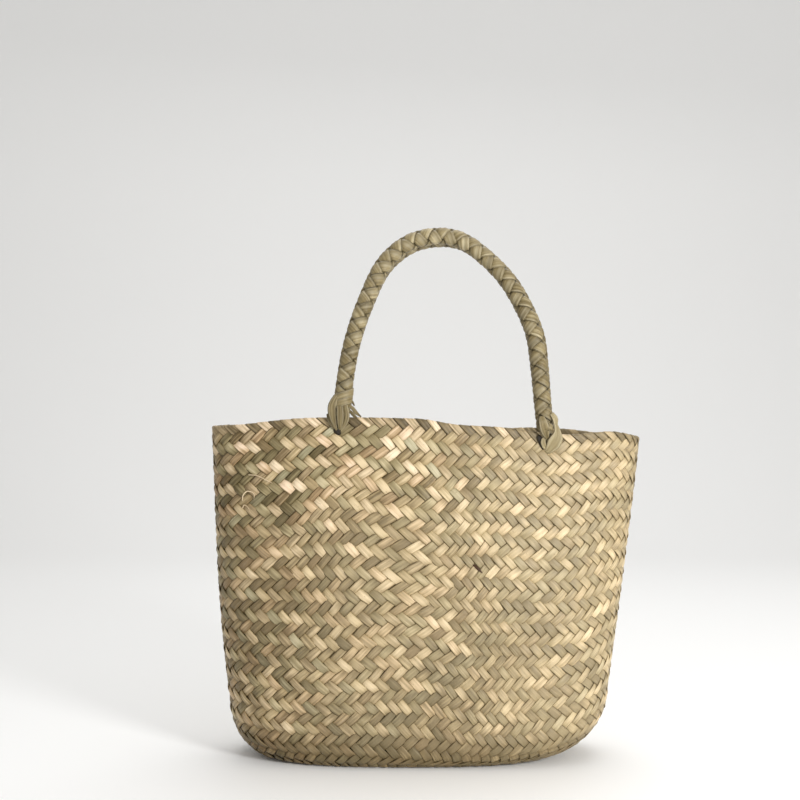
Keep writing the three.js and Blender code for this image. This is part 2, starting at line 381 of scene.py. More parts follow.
@dataclass(frozen=True)
class StrawFinish:
    """A dried straw strand: its colours from its darkest to its palest, how its fibres show, and the painted
    shade and highlight laid over them.

    The mesh brings ``fibre`` (metres along, metres across, the grain's number), ``place`` (share across from -1
    to 1, depth below the surface, which sets painted shade, how far it has faded in the sun) and ``tone`` (0
    dark to 1 pale). Painted shade falls along the edges and where a strand lies deep, and it is weaker where
    the straw has faded; the handle's edges also get a painted highlight.
    """

    name: str
    colours: tuple
    sun_colour: tuple = (0.56, 0.445, 0.262)
    stain: tuple = (0.2, 0.125, 0.06)
    gap_tint: tuple = (0.5, 0.43, 0.3)
    glint: tuple = (1.0, 0.92, 0.78)
    # Colour of the painted highlight along the edges
    edge_highlight_colour: tuple = (1.0, 0.95, 0.78)
    cloud_tone: float = 0.6
    rib_tone: float = 1.15
    streak_tone: float = 0.5
    fading: float = 0.85
    bleaching: float = 0.55
    edge_shade: float = 0.32
    # Strength of the painted highlight along the edges
    edge_highlight: float = 0.0
    # Painted shade along the edges: its least share, how much a noise adds, and how much it weakens where the
    # straw has faded
    edge_shade_least: float = 0.35
    edge_shade_spread: float = 1.1
    edge_fading: float = 0.8
    # Painted shade where a strand lies deep, and how much it weakens where the straw has faded
    depth_shade: float = 0.5
    depth_fading: float = 0.3
    roughness: float = 0.44
    streak_roughness: float = 0.3
    specular: float = 0.3
    fibre_bump: float = 0.0005
    streak_height: float = 0.6
    rib_height: float = 0.9

    def build(self) -> bpy.types.Material:
        """Make the material.

        Returns:
            The material.
        """
        shader = Shader(self.name)
        fibre = shader.attribute("fibre").outputs["Vector"]
        place = shader.add("ShaderNodeSeparateXYZ", None, {0: shader.attribute("place").outputs["Vector"]})
        across, depth, sunned = (Value(shader, place.outputs[i]) for i in range(3))
        tone = Value(shader, shader.attribute("tone").outputs["Fac"])
        grains = (STREAKS, RIBS, CLOUDS, SPOTS, EDGE_SHADE_NOISE)
        streak, ribs, cloud, spots, edge_noise = (shader.grain(fibre, grain) for grain in grains)

        steps = len(self.colours) - 1
        stops = [(i / steps, colour) for i, colour in enumerate(self.colours)]
        tone = tone + (cloud - NOISE_MIDDLE) * self.cloud_tone + (ribs - NOISE_MIDDLE) * self.rib_tone
        colour = shader.ramp(tone + (streak - NOISE_MIDDLE) * self.streak_tone, stops)
        colour = shader.mix(sunned * self.fading, colour, self.sun_colour, "COLOR")
        colour = shader.mix(sunned * self.bleaching, colour, self.sun_colour)
        colour = shader.mix(FIBRE_GAPS.share(streak), colour, self.gap_tint, "MULTIPLY")
        colour = shader.mix(GLINTS.share(streak), colour, self.glint, "SCREEN")
        colour = shader.mix(STAINS.share(spots), colour, self.stain)
        # Painted highlight along the strands' edges
        if self.edge_highlight:
            pale = HIGHLIGHT_EDGES.share(abs(across)) * self.edge_highlight
            colour = shader.mix(pale, colour, self.edge_highlight_colour, "SCREEN")
        # Painted shade along the edges, where neighbouring strands meet
        edge_shade_amount = (self.edge_shade_least + edge_noise * self.edge_shade_spread) * (1 - sunned * self.edge_fading)
        edge = SHADED_EDGES.share(abs(across)) * edge_shade_amount
        # Painted shade where a strand lies deep under its neighbours
        sunk = depth * self.depth_shade * (1 - sunned * self.depth_fading)
        shade = (1 - edge * self.edge_shade) * (1 - sunk)
        shades = {0: shade, 1: shade**SHADOW_GREEN, 2: shade**SHADOW_BLUE}
        grey = shader.add("ShaderNodeCombineXYZ", None, shades)
        colour = shader.mix(1.0, colour, grey.outputs[0], "MULTIPLY")

        height = streak * self.streak_height + ribs * self.rib_height
        relief = {"Strength": 1.0, "Distance": self.fibre_bump, "Height": height}
        bump = shader.add("ShaderNodeBump", None, relief)
        return shader.finish(
            {
                "Base Color": colour,
                "Roughness": self.roughness + (streak - NOISE_MIDDLE) * self.streak_roughness,
                "Normal": bump.outputs[0],
                "Specular IOR Level": self.specular,
            }
        )


def colour(red: int, green: int, blue: int) -> tuple:
    """Turn a colour as seen on a screen, 0 to 255, into the linear one that shaders take.

    Args:
        red: Red.
        green: Green.
        blue: Blue.

    Returns:
        The linear colour.
    """
    linear = []
    for share in (red / SCREEN_FULL, green / SCREEN_FULL, blue / SCREEN_FULL):
        if share <= SCREEN_KNEE:
            linear.append(share / SCREEN_SLOPE)
        else:
            linear.append(((share + SCREEN_OFFSET) / (1 + SCREEN_OFFSET)) ** SCREEN_POWER)
    return tuple(linear)


OLIVE = StrawFinish(
    "straw_olive", (colour(92, 80, 50), colour(128, 115, 81), colour(160, 146, 110), colour(196, 182, 146))
)
STRAW = StrawFinish(
    "straw_beige", (colour(104, 87, 56), colour(148, 128, 92), colour(186, 165, 126), colour(220, 199, 161))
)
CREAM = StrawFinish(
    "straw_cream", (colour(122, 103, 72), colour(172, 151, 117), colour(210, 188, 153), colour(240, 220, 189))
)
BLUSH = StrawFinish(
    "straw_blush", (colour(118, 95, 63), colour(168, 141, 105), colour(210, 182, 145), colour(241, 216, 187))
)
SAGE = StrawFinish(
    "straw_sage", (colour(96, 87, 61), colour(137, 128, 98), colour(168, 160, 128), colour(198, 190, 160))
)
MIXED = StrawFinish(
    "straw_rim", (colour(74, 60, 33), colour(124, 107, 75), colour(178, 156, 121), colour(240, 217, 187))
)
SLIVER = StrawFinish("straw_dark", (colour(48, 30, 18), colour(80, 54, 34)), stain=(0.02, 0.012, 0.008))
HANDLE = StrawFinish(
    "straw_handle",
    (colour(80, 68, 38), colour(117, 103, 69), colour(146, 132, 97), colour(190, 176, 140)),
    # The braid's strands get painted shade and a painted highlight along their edges
    edge_shade=0.42,
    edge_highlight=0.12,
)


# Meshes of strands


@dataclass(frozen=True)
class StrandProfile:
    """Section of a flat strand with a gentle crown: places across from -1 to 1, and heights in thicknesses."""

    across: tuple = (-1.0, -0.72, 0.72, 1.0, 0.72, -0.72)
    height: tuple = (0.06, 0.5, 0.5, 0.06, -0.5, -0.5)

    def size(self) -> int:
        """Count the points of the section."""
        return len(self.across)

    def arrays(self) -> tuple[Array, Array]:
        """Give the places across and the heights."""
        return np.array(self.across), np.array(self.height)


# A strand's flat faces lie at half its thickness
FACE = 0.5


@dataclass(frozen=True)
class Marks:
    """What a strand's finish reads: half its width, its grain's number, its depth, which sets its painted
    shade, its fading and its tone.
    """

    half_width: float
    grain: float
    depth: Array
    sunned: Array
    tone: Array


@dataclass
class RibbonBatch:
    """Flat strands gathered into one mesh, each a closed tube with the same section."""

    profile: StrandProfile
    points: list = field(default_factory=list)
    fibres: list = field(default_factory=list)
    places: list = field(default_factory=list)
    tones: list = field(default_factory=list)
    strip_slack: float = 1.1
    strip_margin: float = 0.05
    cap_reach: float = 0.4

    def add(self, rings: Array, marks: Marks) -> None:
        """Add one strand, its faces turned outwards.

        Args:
            rings: Points, by step along and place round.
            marks: What its finish reads.
        """
        across = np.array(self.profile.across)
        centre = rings.mean(1)
        travel = np.concatenate([[0], np.cumsum(np.linalg.norm(np.diff(centre, axis=0), axis=-1))])
        shape = rings.shape[:2]
        fibre, place = (
            np.stack([np.broadcast_to(part, shape) for part in parts], -1)
            for parts in (
                (travel[:, None], across * marks.half_width, marks.grain),
                (across, marks.depth, marks.sunned),
            )
        )
        tone = np.broadcast_to(marks.tone, shape)
        arms = rings - centre[:, None]
        turning = np.cross(arms, np.roll(rings, -1, 1) - centre[:, None]).sum(1)
        way = 1 if (turning * np.gradient(centre, axis=0)).sum() < 0 else -1
        stores = (self.points, self.fibres, self.places, self.tones)
        for store, block in zip(stores, (rings, fibre, place, tone), strict=True):
            store.append(block[:, ::way])

    def triangles(self) -> int:
        """Count the triangles that the mesh will have."""
        size = self.profile.size()
        return sum((len(rings) - 1) * size * 2 + 2 * (size - 2) for rings in self.points)

    def _faces(self) -> tuple[list, list, list]:
        """List the faces, and each corner's place in the strip layout.

        Returns:
            The sides; each corner's segment and place round, with the number of segments; and the end faces.
        """
        size = self.profile.size()
        quads, segments, corners, caps = [], [], [], []
        start = 0
        segment = 0
        for rings in self.points:
            count = len(rings) - 1
            k, i = np.meshgrid(np.arange(count), np.arange(size), indexing="ij")
            near, far, j = start + k * size, start + (k + 1) * size, (i + 1) % size
            quads.append(np.stack([near + i, near + j, far + j, far + i], -1).reshape(-1, 4))
            along = segment + np.stack([k, k, k + 1, k + 1], -1).reshape(-1, 4)
            segments.append(np.stack([np.repeat(along[:, :1], 4, 1), along], -1))
            corners.append(np.stack([i, i + 1, i + 1, i], -1).reshape(-1, 4))
            caps.append((start + np.arange(size)[::-1], segment + count))
            caps.append((start + count * size + np.arange(size), segment + count + 1))
            segment += count + 2
            start += (count + 1) * size
        return quads, [np.concatenate(segments), np.concatenate(corners), segment], caps

    def build(self, name: str, material: bpy.types.Material) -> bpy.types.Object:
        """Make the mesh object, with its attributes and a strip layout that the maps can be baked to.

        Args:
            name: The object's name.
            material: Its material.

        Returns:
            The new object.
        """
        size = self.profile.size()
        quads, (segments, corners, total), caps = self._faces()
        quads = np.concatenate(quads)
        points = np.concatenate([rings.reshape(-1, 3) for rings in self.points])
        loops = np.concatenate([quads.ravel(), *[cap for cap, _ in caps]])
        starts = np.concatenate([np.arange(len(quads)) * 4, len(quads) * 4 + np.arange(len(caps)) * size])
        mesh = bpy.data.meshes.new(name)
        mesh.vertices.add(len(points))
        mesh.vertices.foreach_set("co", points.ravel())
        mesh.loops.add(len(loops))
        mesh.loops.foreach_set("vertex_index", loops.astype(np.int32))
        mesh.polygons.add(len(starts))
        mesh.polygons.foreach_set("loop_start", starts.astype(np.int32))
        mesh.polygons.foreach_set("use_smooth", np.ones(len(starts), bool))
        mesh.update(calc_edges=True)
        mesh.uv_layers.new(name="OFBake").uv.foreach_set("vector", self._layout(segments, corners, total, caps))
        for label, kind, key, data in (
            ("fibre", "FLOAT_VECTOR", "vector", self.fibres),
            ("place", "FLOAT_VECTOR", "vector", self.places),
            ("tone", "FLOAT", "value", self.tones),
        ):
            values = np.concatenate([block.reshape(-1) for block in data]).astype(np.float32)
            mesh.attributes.new(label, kind, "POINT").data.foreach_set(key, values)
        mesh.materials.append(material)
        piece = bpy.data.objects.new(name, mesh)
        bpy.context.scene.collection.objects.link(piece)
        return piece

    def _layout(self, segments: Array, corners: Array, total: int, caps: list) -> Array:
        """Lay the strips out in rows that fill a square.

        Args:
            segments: For each corner of each quad, its segment and its step along.
            corners: For each corner of each quad, its place round the ring.
            total: The number of segments, the caps' own among them.
            caps: The end faces, each with its segment.

        Returns:
            Flat UV values, corner by corner.
        """
        size = self.profile.size()
        rings = self.points[0]
        step = np.linalg.norm(rings[1:, 0] - rings[:-1, 0], axis=-1).mean()
        girth = np.linalg.norm(np.roll(rings, -1, 1) - rings, axis=-1).sum(1).mean() * self.strip_slack
        rows = max(1, math.ceil(math.sqrt(total * step / girth)))
        per_row = math.ceil(total / rows)
        row = segments[..., 0] // per_row
        u = (segments[..., 1] - row * per_row) / per_row
        v = (row + self.strip_margin + (1 - 2 * self.strip_margin) * corners / size) / rows
        flat = [np.stack([u, v], -1).reshape(-1, 2)]
        angles = np.arange(size) / size * 2 * math.pi
        for _, segment in caps:
            middle = np.array([(segment % per_row + 0.5) / per_row, (segment // per_row + 0.5) / rows])
            reach = self.cap_reach / np.array([per_row, rows])
            flat.append(middle + reach * np.stack([np.cos(angles), np.sin(angles)], -1))
        return np.concatenate(flat).astype(np.float32).ravel()


def dress(piece: bpy.types.Object, slot: str, *nodes: str) -> None:
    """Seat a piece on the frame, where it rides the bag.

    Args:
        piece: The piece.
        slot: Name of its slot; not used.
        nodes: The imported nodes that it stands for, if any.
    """
    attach(piece, "root")
    if nodes:
        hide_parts(*nodes)
    LOG.info("%s: %d faces", piece.name, len(piece.data.polygons))


# The basket's form


@dataclass(frozen=True)
class SectionRow:
    """A horizontal section of the wall, in shares of the bag's named sizes."""

    rise: float
    left: float
    right: float
    narrowing: float
    squareness: float


@dataclass(frozen=True)
class RimRow:
    """How far the rim dips at a place across the bag."""

    across: float
    front: float
    back: float


SECTIONS = (
    SectionRow(0.0, 0.868, 0.806, 0.1, 2.9),
    SectionRow(0.2, 0.921, 0.849, 0.0, 2.8),
    SectionRow(0.45, 0.962, 0.905, 0.08, 2.65),
    SectionRow(0.7, 0.984, 0.958, 0.38, 2.5),
    SectionRow(0.86, 0.994, 0.99, 0.74, 2.4),
    SectionRow(0.93, 1.0, 1.0, 0.9, 2.37),
    SectionRow(1.0, 1.0, 1.0, 1.0, 2.35),
)

RIM_DIPS = (
    RimRow(-1.0, 0.03, 0.03),
    RimRow(-0.6, 0.003, 0.016),
    RimRow(-0.05, 0.0, 0.02),
    RimRow(0.14, 0.019, 0.026),
    RimRow(0.36, 0.029, 0.034),
    RimRow(0.6, 0.041, 0.04),
    RimRow(0.84, 0.043, 0.046),
    RimRow(1.0, 0.061, 0.061),
)


@dataclass
class BasketForm:
    """The basket's outer face, from its rim down to the middle of its base."""

    rim_width: float = 340 * MM
    mouth_depth: float = 82 * MM
    body_depth: float = 108 * MM
    body_height: float = 267 * MM
    wall: float = 2.4 * MM
    floor_width: float = 206 * MM
    floor_shift: float = -18 * MM
    floor_depth: float = 87 * MM
    floor_squareness: float = 2.5
    left_corner: float = 46 * MM
    right_corner: float = 54 * MM
    long_edge: float = 13 * MM
    edge_power: int = 4
    weave_long_edge: float = 0.3
    weave_left: float = 0.42
    weave_right: float = 0.55
    weave_power: int = 3
    fold_height: float = 8.7 * MM
    columns: int = 656
    rows: int = 160
    quarter_samples: int = 121
    wall_samples: int = 90
    edge_samples: int = 40
    wall_grid: Array = None
    base_grid: Array = None

    def __post_init__(self) -> None:
        """Measure the wall and the base along every column."""
        turns = np.arange(self.columns) / self.columns
        self.wall_grid = self._even_rows(self._wall_columns(turns), self.rows)
        self.base_grid = self._even_rows(self._base_columns(turns), self.rows)

    def quarter(self, half_width: Array, half_depth: Array, squareness: Array, turn: Array) -> Array:
        """Find points of a superellipse's quarter, measured along its length.

        Args:
            half_width: Half width of each section.
            half_depth: Half depth of each section.
            squareness: Exponent of each section.
            turn: 0 at the bag's end, 1 at its middle.

        Returns:
            Points in X and Y, both positive.
        """
        angle = np.linspace(0, math.pi / 2, self.quarter_samples)
        power = (2 / squareness)[..., None]
        x = half_width[..., None] * np.cos(angle).clip(0, 1) ** power
        y = half_depth[..., None] * np.sin(angle).clip(0, 1) ** power
        pieces = np.hypot(np.diff(x), np.diff(y))
        lengths = np.concatenate([np.zeros((*x.shape[:-1], 1)), np.cumsum(pieces, -1)], -1)
        goal = turn * lengths[..., -1]
        k = np.clip((lengths < goal[..., None]).sum(-1), 1, len(angle) - 1)[..., None]
        before, after = np.take_along_axis(lengths, k - 1, -1), np.take_along_axis(lengths, k, -1)
        share = (goal[..., None] - before) / (after - before)
        picked = [blend(np.take_along_axis(a, k - 1, -1), np.take_along_axis(a, k, -1), share) for a in (x, y)]
        return np.concatenate(picked, -1)

    def section(self, turn: Array, left: Array, right: Array, half_depth: Array, squareness: Array) -> Array:
        """Find points of whole sections: the right end, the back, the left end, the front.

        Args:
            turn: Share of the way round, from the right end over the back.
            left: Half width on the left.
            right: Half width on the right.
            half_depth: Half depth.
            squareness: Exponent of the superellipse.

        Returns:
            Points in X and Y.
        """
        turn = turn % 1.0
        quarter = np.floor(turn * 4).astype(int) % 4
        within = turn * 4 - np.floor(turn * 4)
        from_end = np.where(quarter % 2 == 0, within, 1 - within)
        on_right = (quarter == 0) | (quarter == 3)
        point = self.quarter(np.where(on_right, right, left), half_depth, squareness, from_end)
        signs = np.stack([np.where(on_right, 1, -1), np.where(quarter < 2, 1, -1)], -1)
        return point * signs

    def wall_section(self, turn: Array, height: Array) -> Array:
        """Find points of the wall at given heights.

        Args:
            turn: Share of the way round, from the right end over the back.
            height: Heights over the floor.

        Returns:
            Points in X and Y.
        """
        rise = height / self.body_height
        left, right, narrowing, squareness = (
            read_table(SECTIONS, "rise", name, rise) for name in ("left", "right", "narrowing", "squareness")
        )
        half_depth = blend(self.body_depth, self.mouth_depth, narrowing) / 2
        half = self.rim_width / 2
        return self.section(turn, left * half, right * half, half_depth, squareness)

    def floor_section(self, turn: Array) -> Array:
        """Find points of the flat base's outline.

        Args:
            turn: Share of the way round, from the right end over the back.

        Returns:
            Points in X and Y.
        """
        half = np.full(turn.shape, self.floor_width / 2)
        depth = np.full(turn.shape, self.floor_depth / 2)
        point = self.section(turn, half, half, depth, np.full(turn.shape, self.floor_squareness))
        return point + np.array([self.floor_shift, 0.0])

    def rim_height(self, x: Array, back: Array) -> Array:
        """Find the rim's height at places across the front or back wall.

        Args:
            x: Places across the bag.
            back: Whether each is on the back wall.

        Returns:
            The heights.
        """
        across = x / (self.rim_width / 2)
        front_dip = read_table(RIM_DIPS, "across", "front", across)
        back_dip = read_table(RIM_DIPS, "across", "back", across)
        return self.body_height * (1 - np.where(back, back_dip, front_dip))

    def edge_height(self, turn: Array) -> Array:
        """Find how high the base's soft edge climbs.

        Args:
            turn: Share of the way round, from the right end over the back.

        Returns:
            The heights.
        """
        across = (self.floor_section(turn)[..., 0] - self.floor_shift) / (self.floor_width / 2)
        corner = np.where(across < 0, self.left_corner, self.right_corner)
        return blend(self.long_edge, corner, np.abs(across) ** self.edge_power)

    def edge_point(self, turn: Array, climb: Array) -> Array:
        """Find points of the soft edge: climb 0 on the floor, 1 on the wall.

        Args:
            turn: Share of the way round, from the right end over the back.
            climb: 0 on the floor, 1 on the wall.

        Returns:
            The points.
        """
        edge = self.edge_height(turn)
        bend = climb * math.pi / 2
        flat = blend(self.floor_section(turn), self.wall_section(turn, edge), np.sin(bend)[..., None])
        return np.concatenate([flat, (edge * (1 - np.cos(bend)))[..., None]], -1)

    def weave_turns_under(self, turn: Array) -> Array:
        """Find how far up the soft edge the base's own plait reaches: further at the ends.

        Args:
            turn: Share of the way round, from the right end over the back.

        Returns:
            The climb that it reaches.
        """
        across = (self.floor_section(turn)[..., 0] - self.floor_shift) / (self.floor_width / 2)
        corner = np.where(across < 0, self.weave_left, self.weave_right)
        return blend(self.weave_long_edge, corner, np.abs(across) ** self.weave_power)

    def _wall_columns(self, turns: Array) -> Array:
        """Sample each column of the wall from the rim down to where the base's plait begins.

        Args:
            turns: Share of the way round of each column.

        Returns:
            Points by column and sample.
        """
        top = self.wall_section(turns, np.full(turns.shape, self.body_height))
        rim = self.rim_height(top[:, 0], turns < 0.5)
        edge = self.edge_height(turns)
        share = np.linspace(0, 1, self.wall_samples)
        turn, share_grid = np.meshgrid(turns, share, indexing="ij")
        height = blend(rim[:, None], edge[:, None], share_grid)
        wall = np.concatenate([self.wall_section(turn, height), height[..., None]], -1)
        low = self.weave_turns_under(turns)
        climb = blend(1.0, low[:, None], np.linspace(0, 1, self.edge_samples)[None, 1:])
        soft = self.edge_point(np.repeat(turns[:, None], self.edge_samples - 1, 1), climb)
        return np.concatenate([wall, soft], 1)

    def _base_columns(self, turns: Array) -> Array:
        """Sample each column of the base from its plait's border to the middle.

        Args:
            turns: Share of the way round of each column.

        Returns:
            Points by column and sample.
        """
        low = self.weave_turns_under(turns)
        share = np.linspace(0, 1, self.edge_samples)[None, :]
        climb = low[:, None] * (1 - share)
        soft = self.edge_point(np.repeat(turns[:, None], self.edge_samples, 1), climb)
        middle = np.array([self.floor_shift, 0.0, 0.0])
        flat = blend(soft[:, -1:], middle, share[:, 1:, None])
        return np.concatenate([soft, flat], 1)

    def on_wall(self, x: float, height: float, side: Side) -> tuple[Array, Array]:
        """Find a place on the front or back wall's outer face.

        Args:
            x: Place across the bag.
            height: Height over the floor.
            side: Which wall.

        Returns:
            The place, and the level direction straight out from the wall there.
        """
        rise = np.array(height / self.body_height)
        name = "left" if x < 0 else "right"
        half = float(read_table(SECTIONS, "rise", name, rise)) * self.rim_width / 2
        narrowing = float(read_table(SECTIONS, "rise", "narrowing", rise))
        depth = blend(self.body_depth, self.mouth_depth, narrowing) / 2
        power = float(read_table(SECTIONS, "rise", "squareness", rise))
        share = abs(x) / half
        y = depth * (1 - share**power) ** (1 / power)
        slope_x = math.copysign(share ** (power - 1), x) / half
        slope_y = (y / depth) ** (power - 1) / depth
        outward = unit(np.array([slope_x, side.value * slope_y, 0.0]))
        return np.array([x, side.value * y, height]), outward

    def rim_seat(self, x: float, side: Side) -> tuple[Array, Array]:
        """Find the rim's middle at a place across the bag.

        Args:
            x: Place across the bag.
            side: Which wall.

        Returns:
            The place, and the level direction straight out from the wall there.
        """
        rim = float(self.rim_height(np.array(x), np.array(side is Side.BACK)))
        point, outward = self.on_wall(x, rim - self.fold_height, side)
        return np.array([point[0], point[1], rim]) - outward * self.wall / 2, outward

    @staticmethod
    def _even_rows(columns: Array, rows: int) -> Array:
        """Place points at even steps along each column.

        Args:
            columns: Points by column and sample.
            rows: How many points each column gets.

        Returns:
            The new points.
        """
        pieces = np.linalg.norm(np.diff(columns, axis=1), axis=-1)
        lengths = np.concatenate([np.zeros((len(columns), 1)), np.cumsum(pieces, 1)], 1)
        lengths /= lengths[:, -1:]
        goal = np.linspace(0, 1, rows)
        even = [
            np.stack([np.interp(goal, lengths[i], columns[i, :, axis]) for axis in range(3)], -1)
            for i in range(len(columns))
        ]
        return np.array(even)

    @staticmethod
    def look_up(grid: Array, turn: Array, share: Array) -> Array:
        """Read a grid of points, smoothly between its columns and rows.

        Args:
            grid: Points by column and row.
            turn: Share of the way round.
            share: Share of the way down a column.

        Returns:
            The points.
        """
        columns, rows = grid.shape[:2]
        x = (turn % 1.0) * columns
        y = np.clip(share, 0, 1) * (rows - 1)
        i, j = np.floor(x).astype(int), np.minimum(np.floor(y).astype(int), rows - 2)
        u, v = (x - i)[..., None], (y - j)[..., None]
        i, after = i % columns, (i + 1) % columns
        near = blend(grid[i, j], grid[i, j + 1], v)
        return blend(near, blend(grid[after, j], grid[after, j + 1], v), u)


def wavering(rng: np.random.Generator, index: Array, sharpness: float = 0.3) -> Array:
    """Draw a random value from -1 to 1 for each whole index and ease from one to the next.

    Args:
        rng: The generator to draw from.
        index: Places along, in floats of the plait.
        sharpness: How much of each step the change takes.

    Returns:
        The value at each place.
    """
    values = rng.uniform(-1, 1, int(index[-1]) + 3)
    low = np.floor(index).astype(int)
    return blend(values[low], values[low + 1], smooth(0.5 - sharpness, 0.5 + sharpness, index - low))


# The plait


@dataclass
class Lattice:
    """The plait's own measure: half-steps m round the bag and n down from the rim, then p and q over the base.

    The base is a rectangle of half-steps. Its front side starts at ``corner`` round the bag.
    """

    form: BasketForm
    around: int = 164
    down: int = 64
    long: int = 60
    short: int = 22
    corner: int = 91
    left_end: float = 82.0
    front_middle: float = 121.0
    middle_drift: float = 1.5
    over_rim: float = 4.0 * MM
    mid_depth: float = 1.0 * MM
    wander: float = 0.16
    wander_ends: int = 14
    wander_gone: int = 2
    waves_drawn: int = 10
    most_turns: int = 9
    rises: tuple = (0.5, 3.0)
    reach: float = 0.35
    seed: int = 7

    def __post_init__(self) -> None:
        """Draw the slow waves by which a hand-made plait wanders."""
        rng = np.random.default_rng(self.seed)
        self.waves = [
            (rng.integers(1, self.most_turns), rng.uniform(*self.rises), *rng.uniform(0, 2 * math.pi, 2))
            for _ in range(self.waves_drawn)
        ]

    def drift(self, m: Array, n: Array, phase: float) -> Array:
        """Work out how far the plait wanders, dying out towards the base.

        Args:
            m: Half-steps round the bag.
            n: Half-steps down from the rim.
            phase: Shifts the waves, so that the two directions wander apart.

        Returns:
            The wander in half-steps.
        """
        total = np.zeros(np.broadcast(m, n).shape)
        for turns, rises, first, second in self.waves:
            angle = 2 * math.pi * turns * m / self.around + first + phase
            total = total + np.sin(angle) * np.sin(math.pi * rises * n / self.down + second + phase)
        return total * self.wander * (1 - smooth(self.down - self.wander_ends, self.down - self.wander_gone, n))

    def turn_of(self, m: Array, n: Array) -> Array:
        """Find where a half-step lies round the bag: strands lie closer together on the right of the front.

        Args:
            m: Half-steps round the bag.
            n: Half-steps down from the rim.

        Returns:
            Share of the way round.
        """
        end, middle = self.left_end, self.front_middle + self.middle_drift * n / self.down
        m = m % self.around
        left = 0.5 + 0.25 * (m - end) / (middle - end)
        right = 0.75 + 0.25 * (m - middle) / (self.around - middle)
        return np.where(m < end, 0.5 * m / end, np.where(m < middle, left, right))

    def wall(self, m: Array, n: Array) -> Array:
        """Find points of the outer face at wall places.

        Args:
            m: Half-steps round the bag.
            n: Half-steps down from the rim; below 0 they stand above it.

        Returns:
            The points.
        """
        share = (n + self.drift(m, n, 1.0)) / self.down
        turn = self.turn_of(m + self.drift(m, n, 0.0), n)
        point = self.form.look_up(self.form.wall_grid, turn, share)
        return point - np.minimum(n, 0.0)[..., None] * self.over_rim * UP

    def base(self, p: Array, q: Array) -> Array:
        """Find points of the outer face at base places.

        Args:
            p: Half-steps along the base.
            q: Half-steps from its front to its back.

        Returns:
            The points.
        """
        half_long, half_short = self.long / 2, self.short / 2
        x, y = p - half_long, q - half_short
        spread = np.maximum(np.abs(x) / half_long, np.abs(y) / half_short).clip(TINY, 1.0)
        x, y = x / spread, y / spread
        front, back = y <= TINY - half_short, y >= half_short - TINY
        right = x >= half_long - TINY
        m = self.corner + np.select(
            [front, right & ~back, back],
            [x + half_long, self.long + y + half_short, self.long + self.short + half_long - x],
            2 * self.long + self.short + half_short - y,
        )
        turn = self.turn_of(m, np.full(m.shape, float(self.down)))
        return self.form.look_up(self.form.base_grid, turn, 1 - spread)

    def to_base(self, m: Array, n: Array) -> tuple[Array, Array]:
        """Turn wall places below the last row into base places.

        Args:
            m: Half-steps round the bag.
            n: Half-steps down from the rim.

        Returns:
            The places' p and q.
        """
        beyond = n - self.down
        along = (m - self.corner) % self.around
        front = along <= self.long
        right = ~front & (along <= self.long + self.short)
        back = (along > self.long + self.short) & (along <= 2 * self.long + self.short)
        sides = [front, right, back]
        p = np.select(sides, [along, self.long - beyond, 2 * self.long + self.short - along], beyond)
        left_q = 2 * self.long + 2 * self.short - along
        q = np.select(sides, [beyond, along - self.long, self.short - beyond], left_q)
        return p, q

    def to_wall(self, p: Array, q: Array) -> tuple[Array, Array]:
        """Turn base places outside the rectangle into wall places.

        Args:
            p: Half-steps along the base.
            q: Half-steps from its front to its back.

        Returns:
            The places' m and n.
        """
        sides = [q < 0, q > self.short, p > self.long]
        left_m = 2 * self.long + 2 * self.short - q
        m = self.corner + np.select(sides, [p, 2 * self.long + self.short - p, self.long + q], left_m)
        out = np.select(sides, [-q, q - self.short, p - self.long], -p)
        return m, self.down - out

    def point(self, on_base: Array, a: Array, b: Array) -> Array:
        """Find points of the outer face at places of either kind.

        Args:
            on_base: Whether each place is in base half-steps.
            a: m or p.
            b: n or q.

        Returns:
            Points of the outer face.
        """
        p, q = self.to_base(a, b)
        m, n = self.to_wall(a, b)
        low = on_base | (b > self.down)
        p, q = np.where(on_base, a, p), np.where(on_base, b, q)
        outside = on_base & ((a < 0) | (a > self.long) | (b < 0) | (b > self.short))
        m, n = np.where(on_base, m, a), np.where(on_base, n, b)
        use_base = low & ~outside
        return np.where(use_base[..., None], self.base(p, q), self.wall(m, n))

    def place(self, on_base: Array, a: Array, b: Array, height: Array) -> Array:
        """Find points at heights over the plait's middle layer.

        Args:
            on_base: Whether each place is in base half-steps.
            a: m or p.
            b: n or q.
            height: Height over the middle layer, outwards.

        Returns:
            The points.
        """
        here = self.point(on_base, a, b)
        one = self.point(on_base, a + self.reach, b) - self.point(on_base, a - self.reach, b)
        two = self.point(on_base, a, b + self.reach) - self.point(on_base, a, b - self.reach)
        outward = unit(np.cross(two, one))
        return here + outward * (height - self.mid_depth)[..., None]


@dataclass
class StrandPath:
    """One strand's way through the plait: places at quarter steps, and whether it lies over at whole steps."""

    on_base: Array
    a: Array
    b: Array
    aside: Array
    over: Array


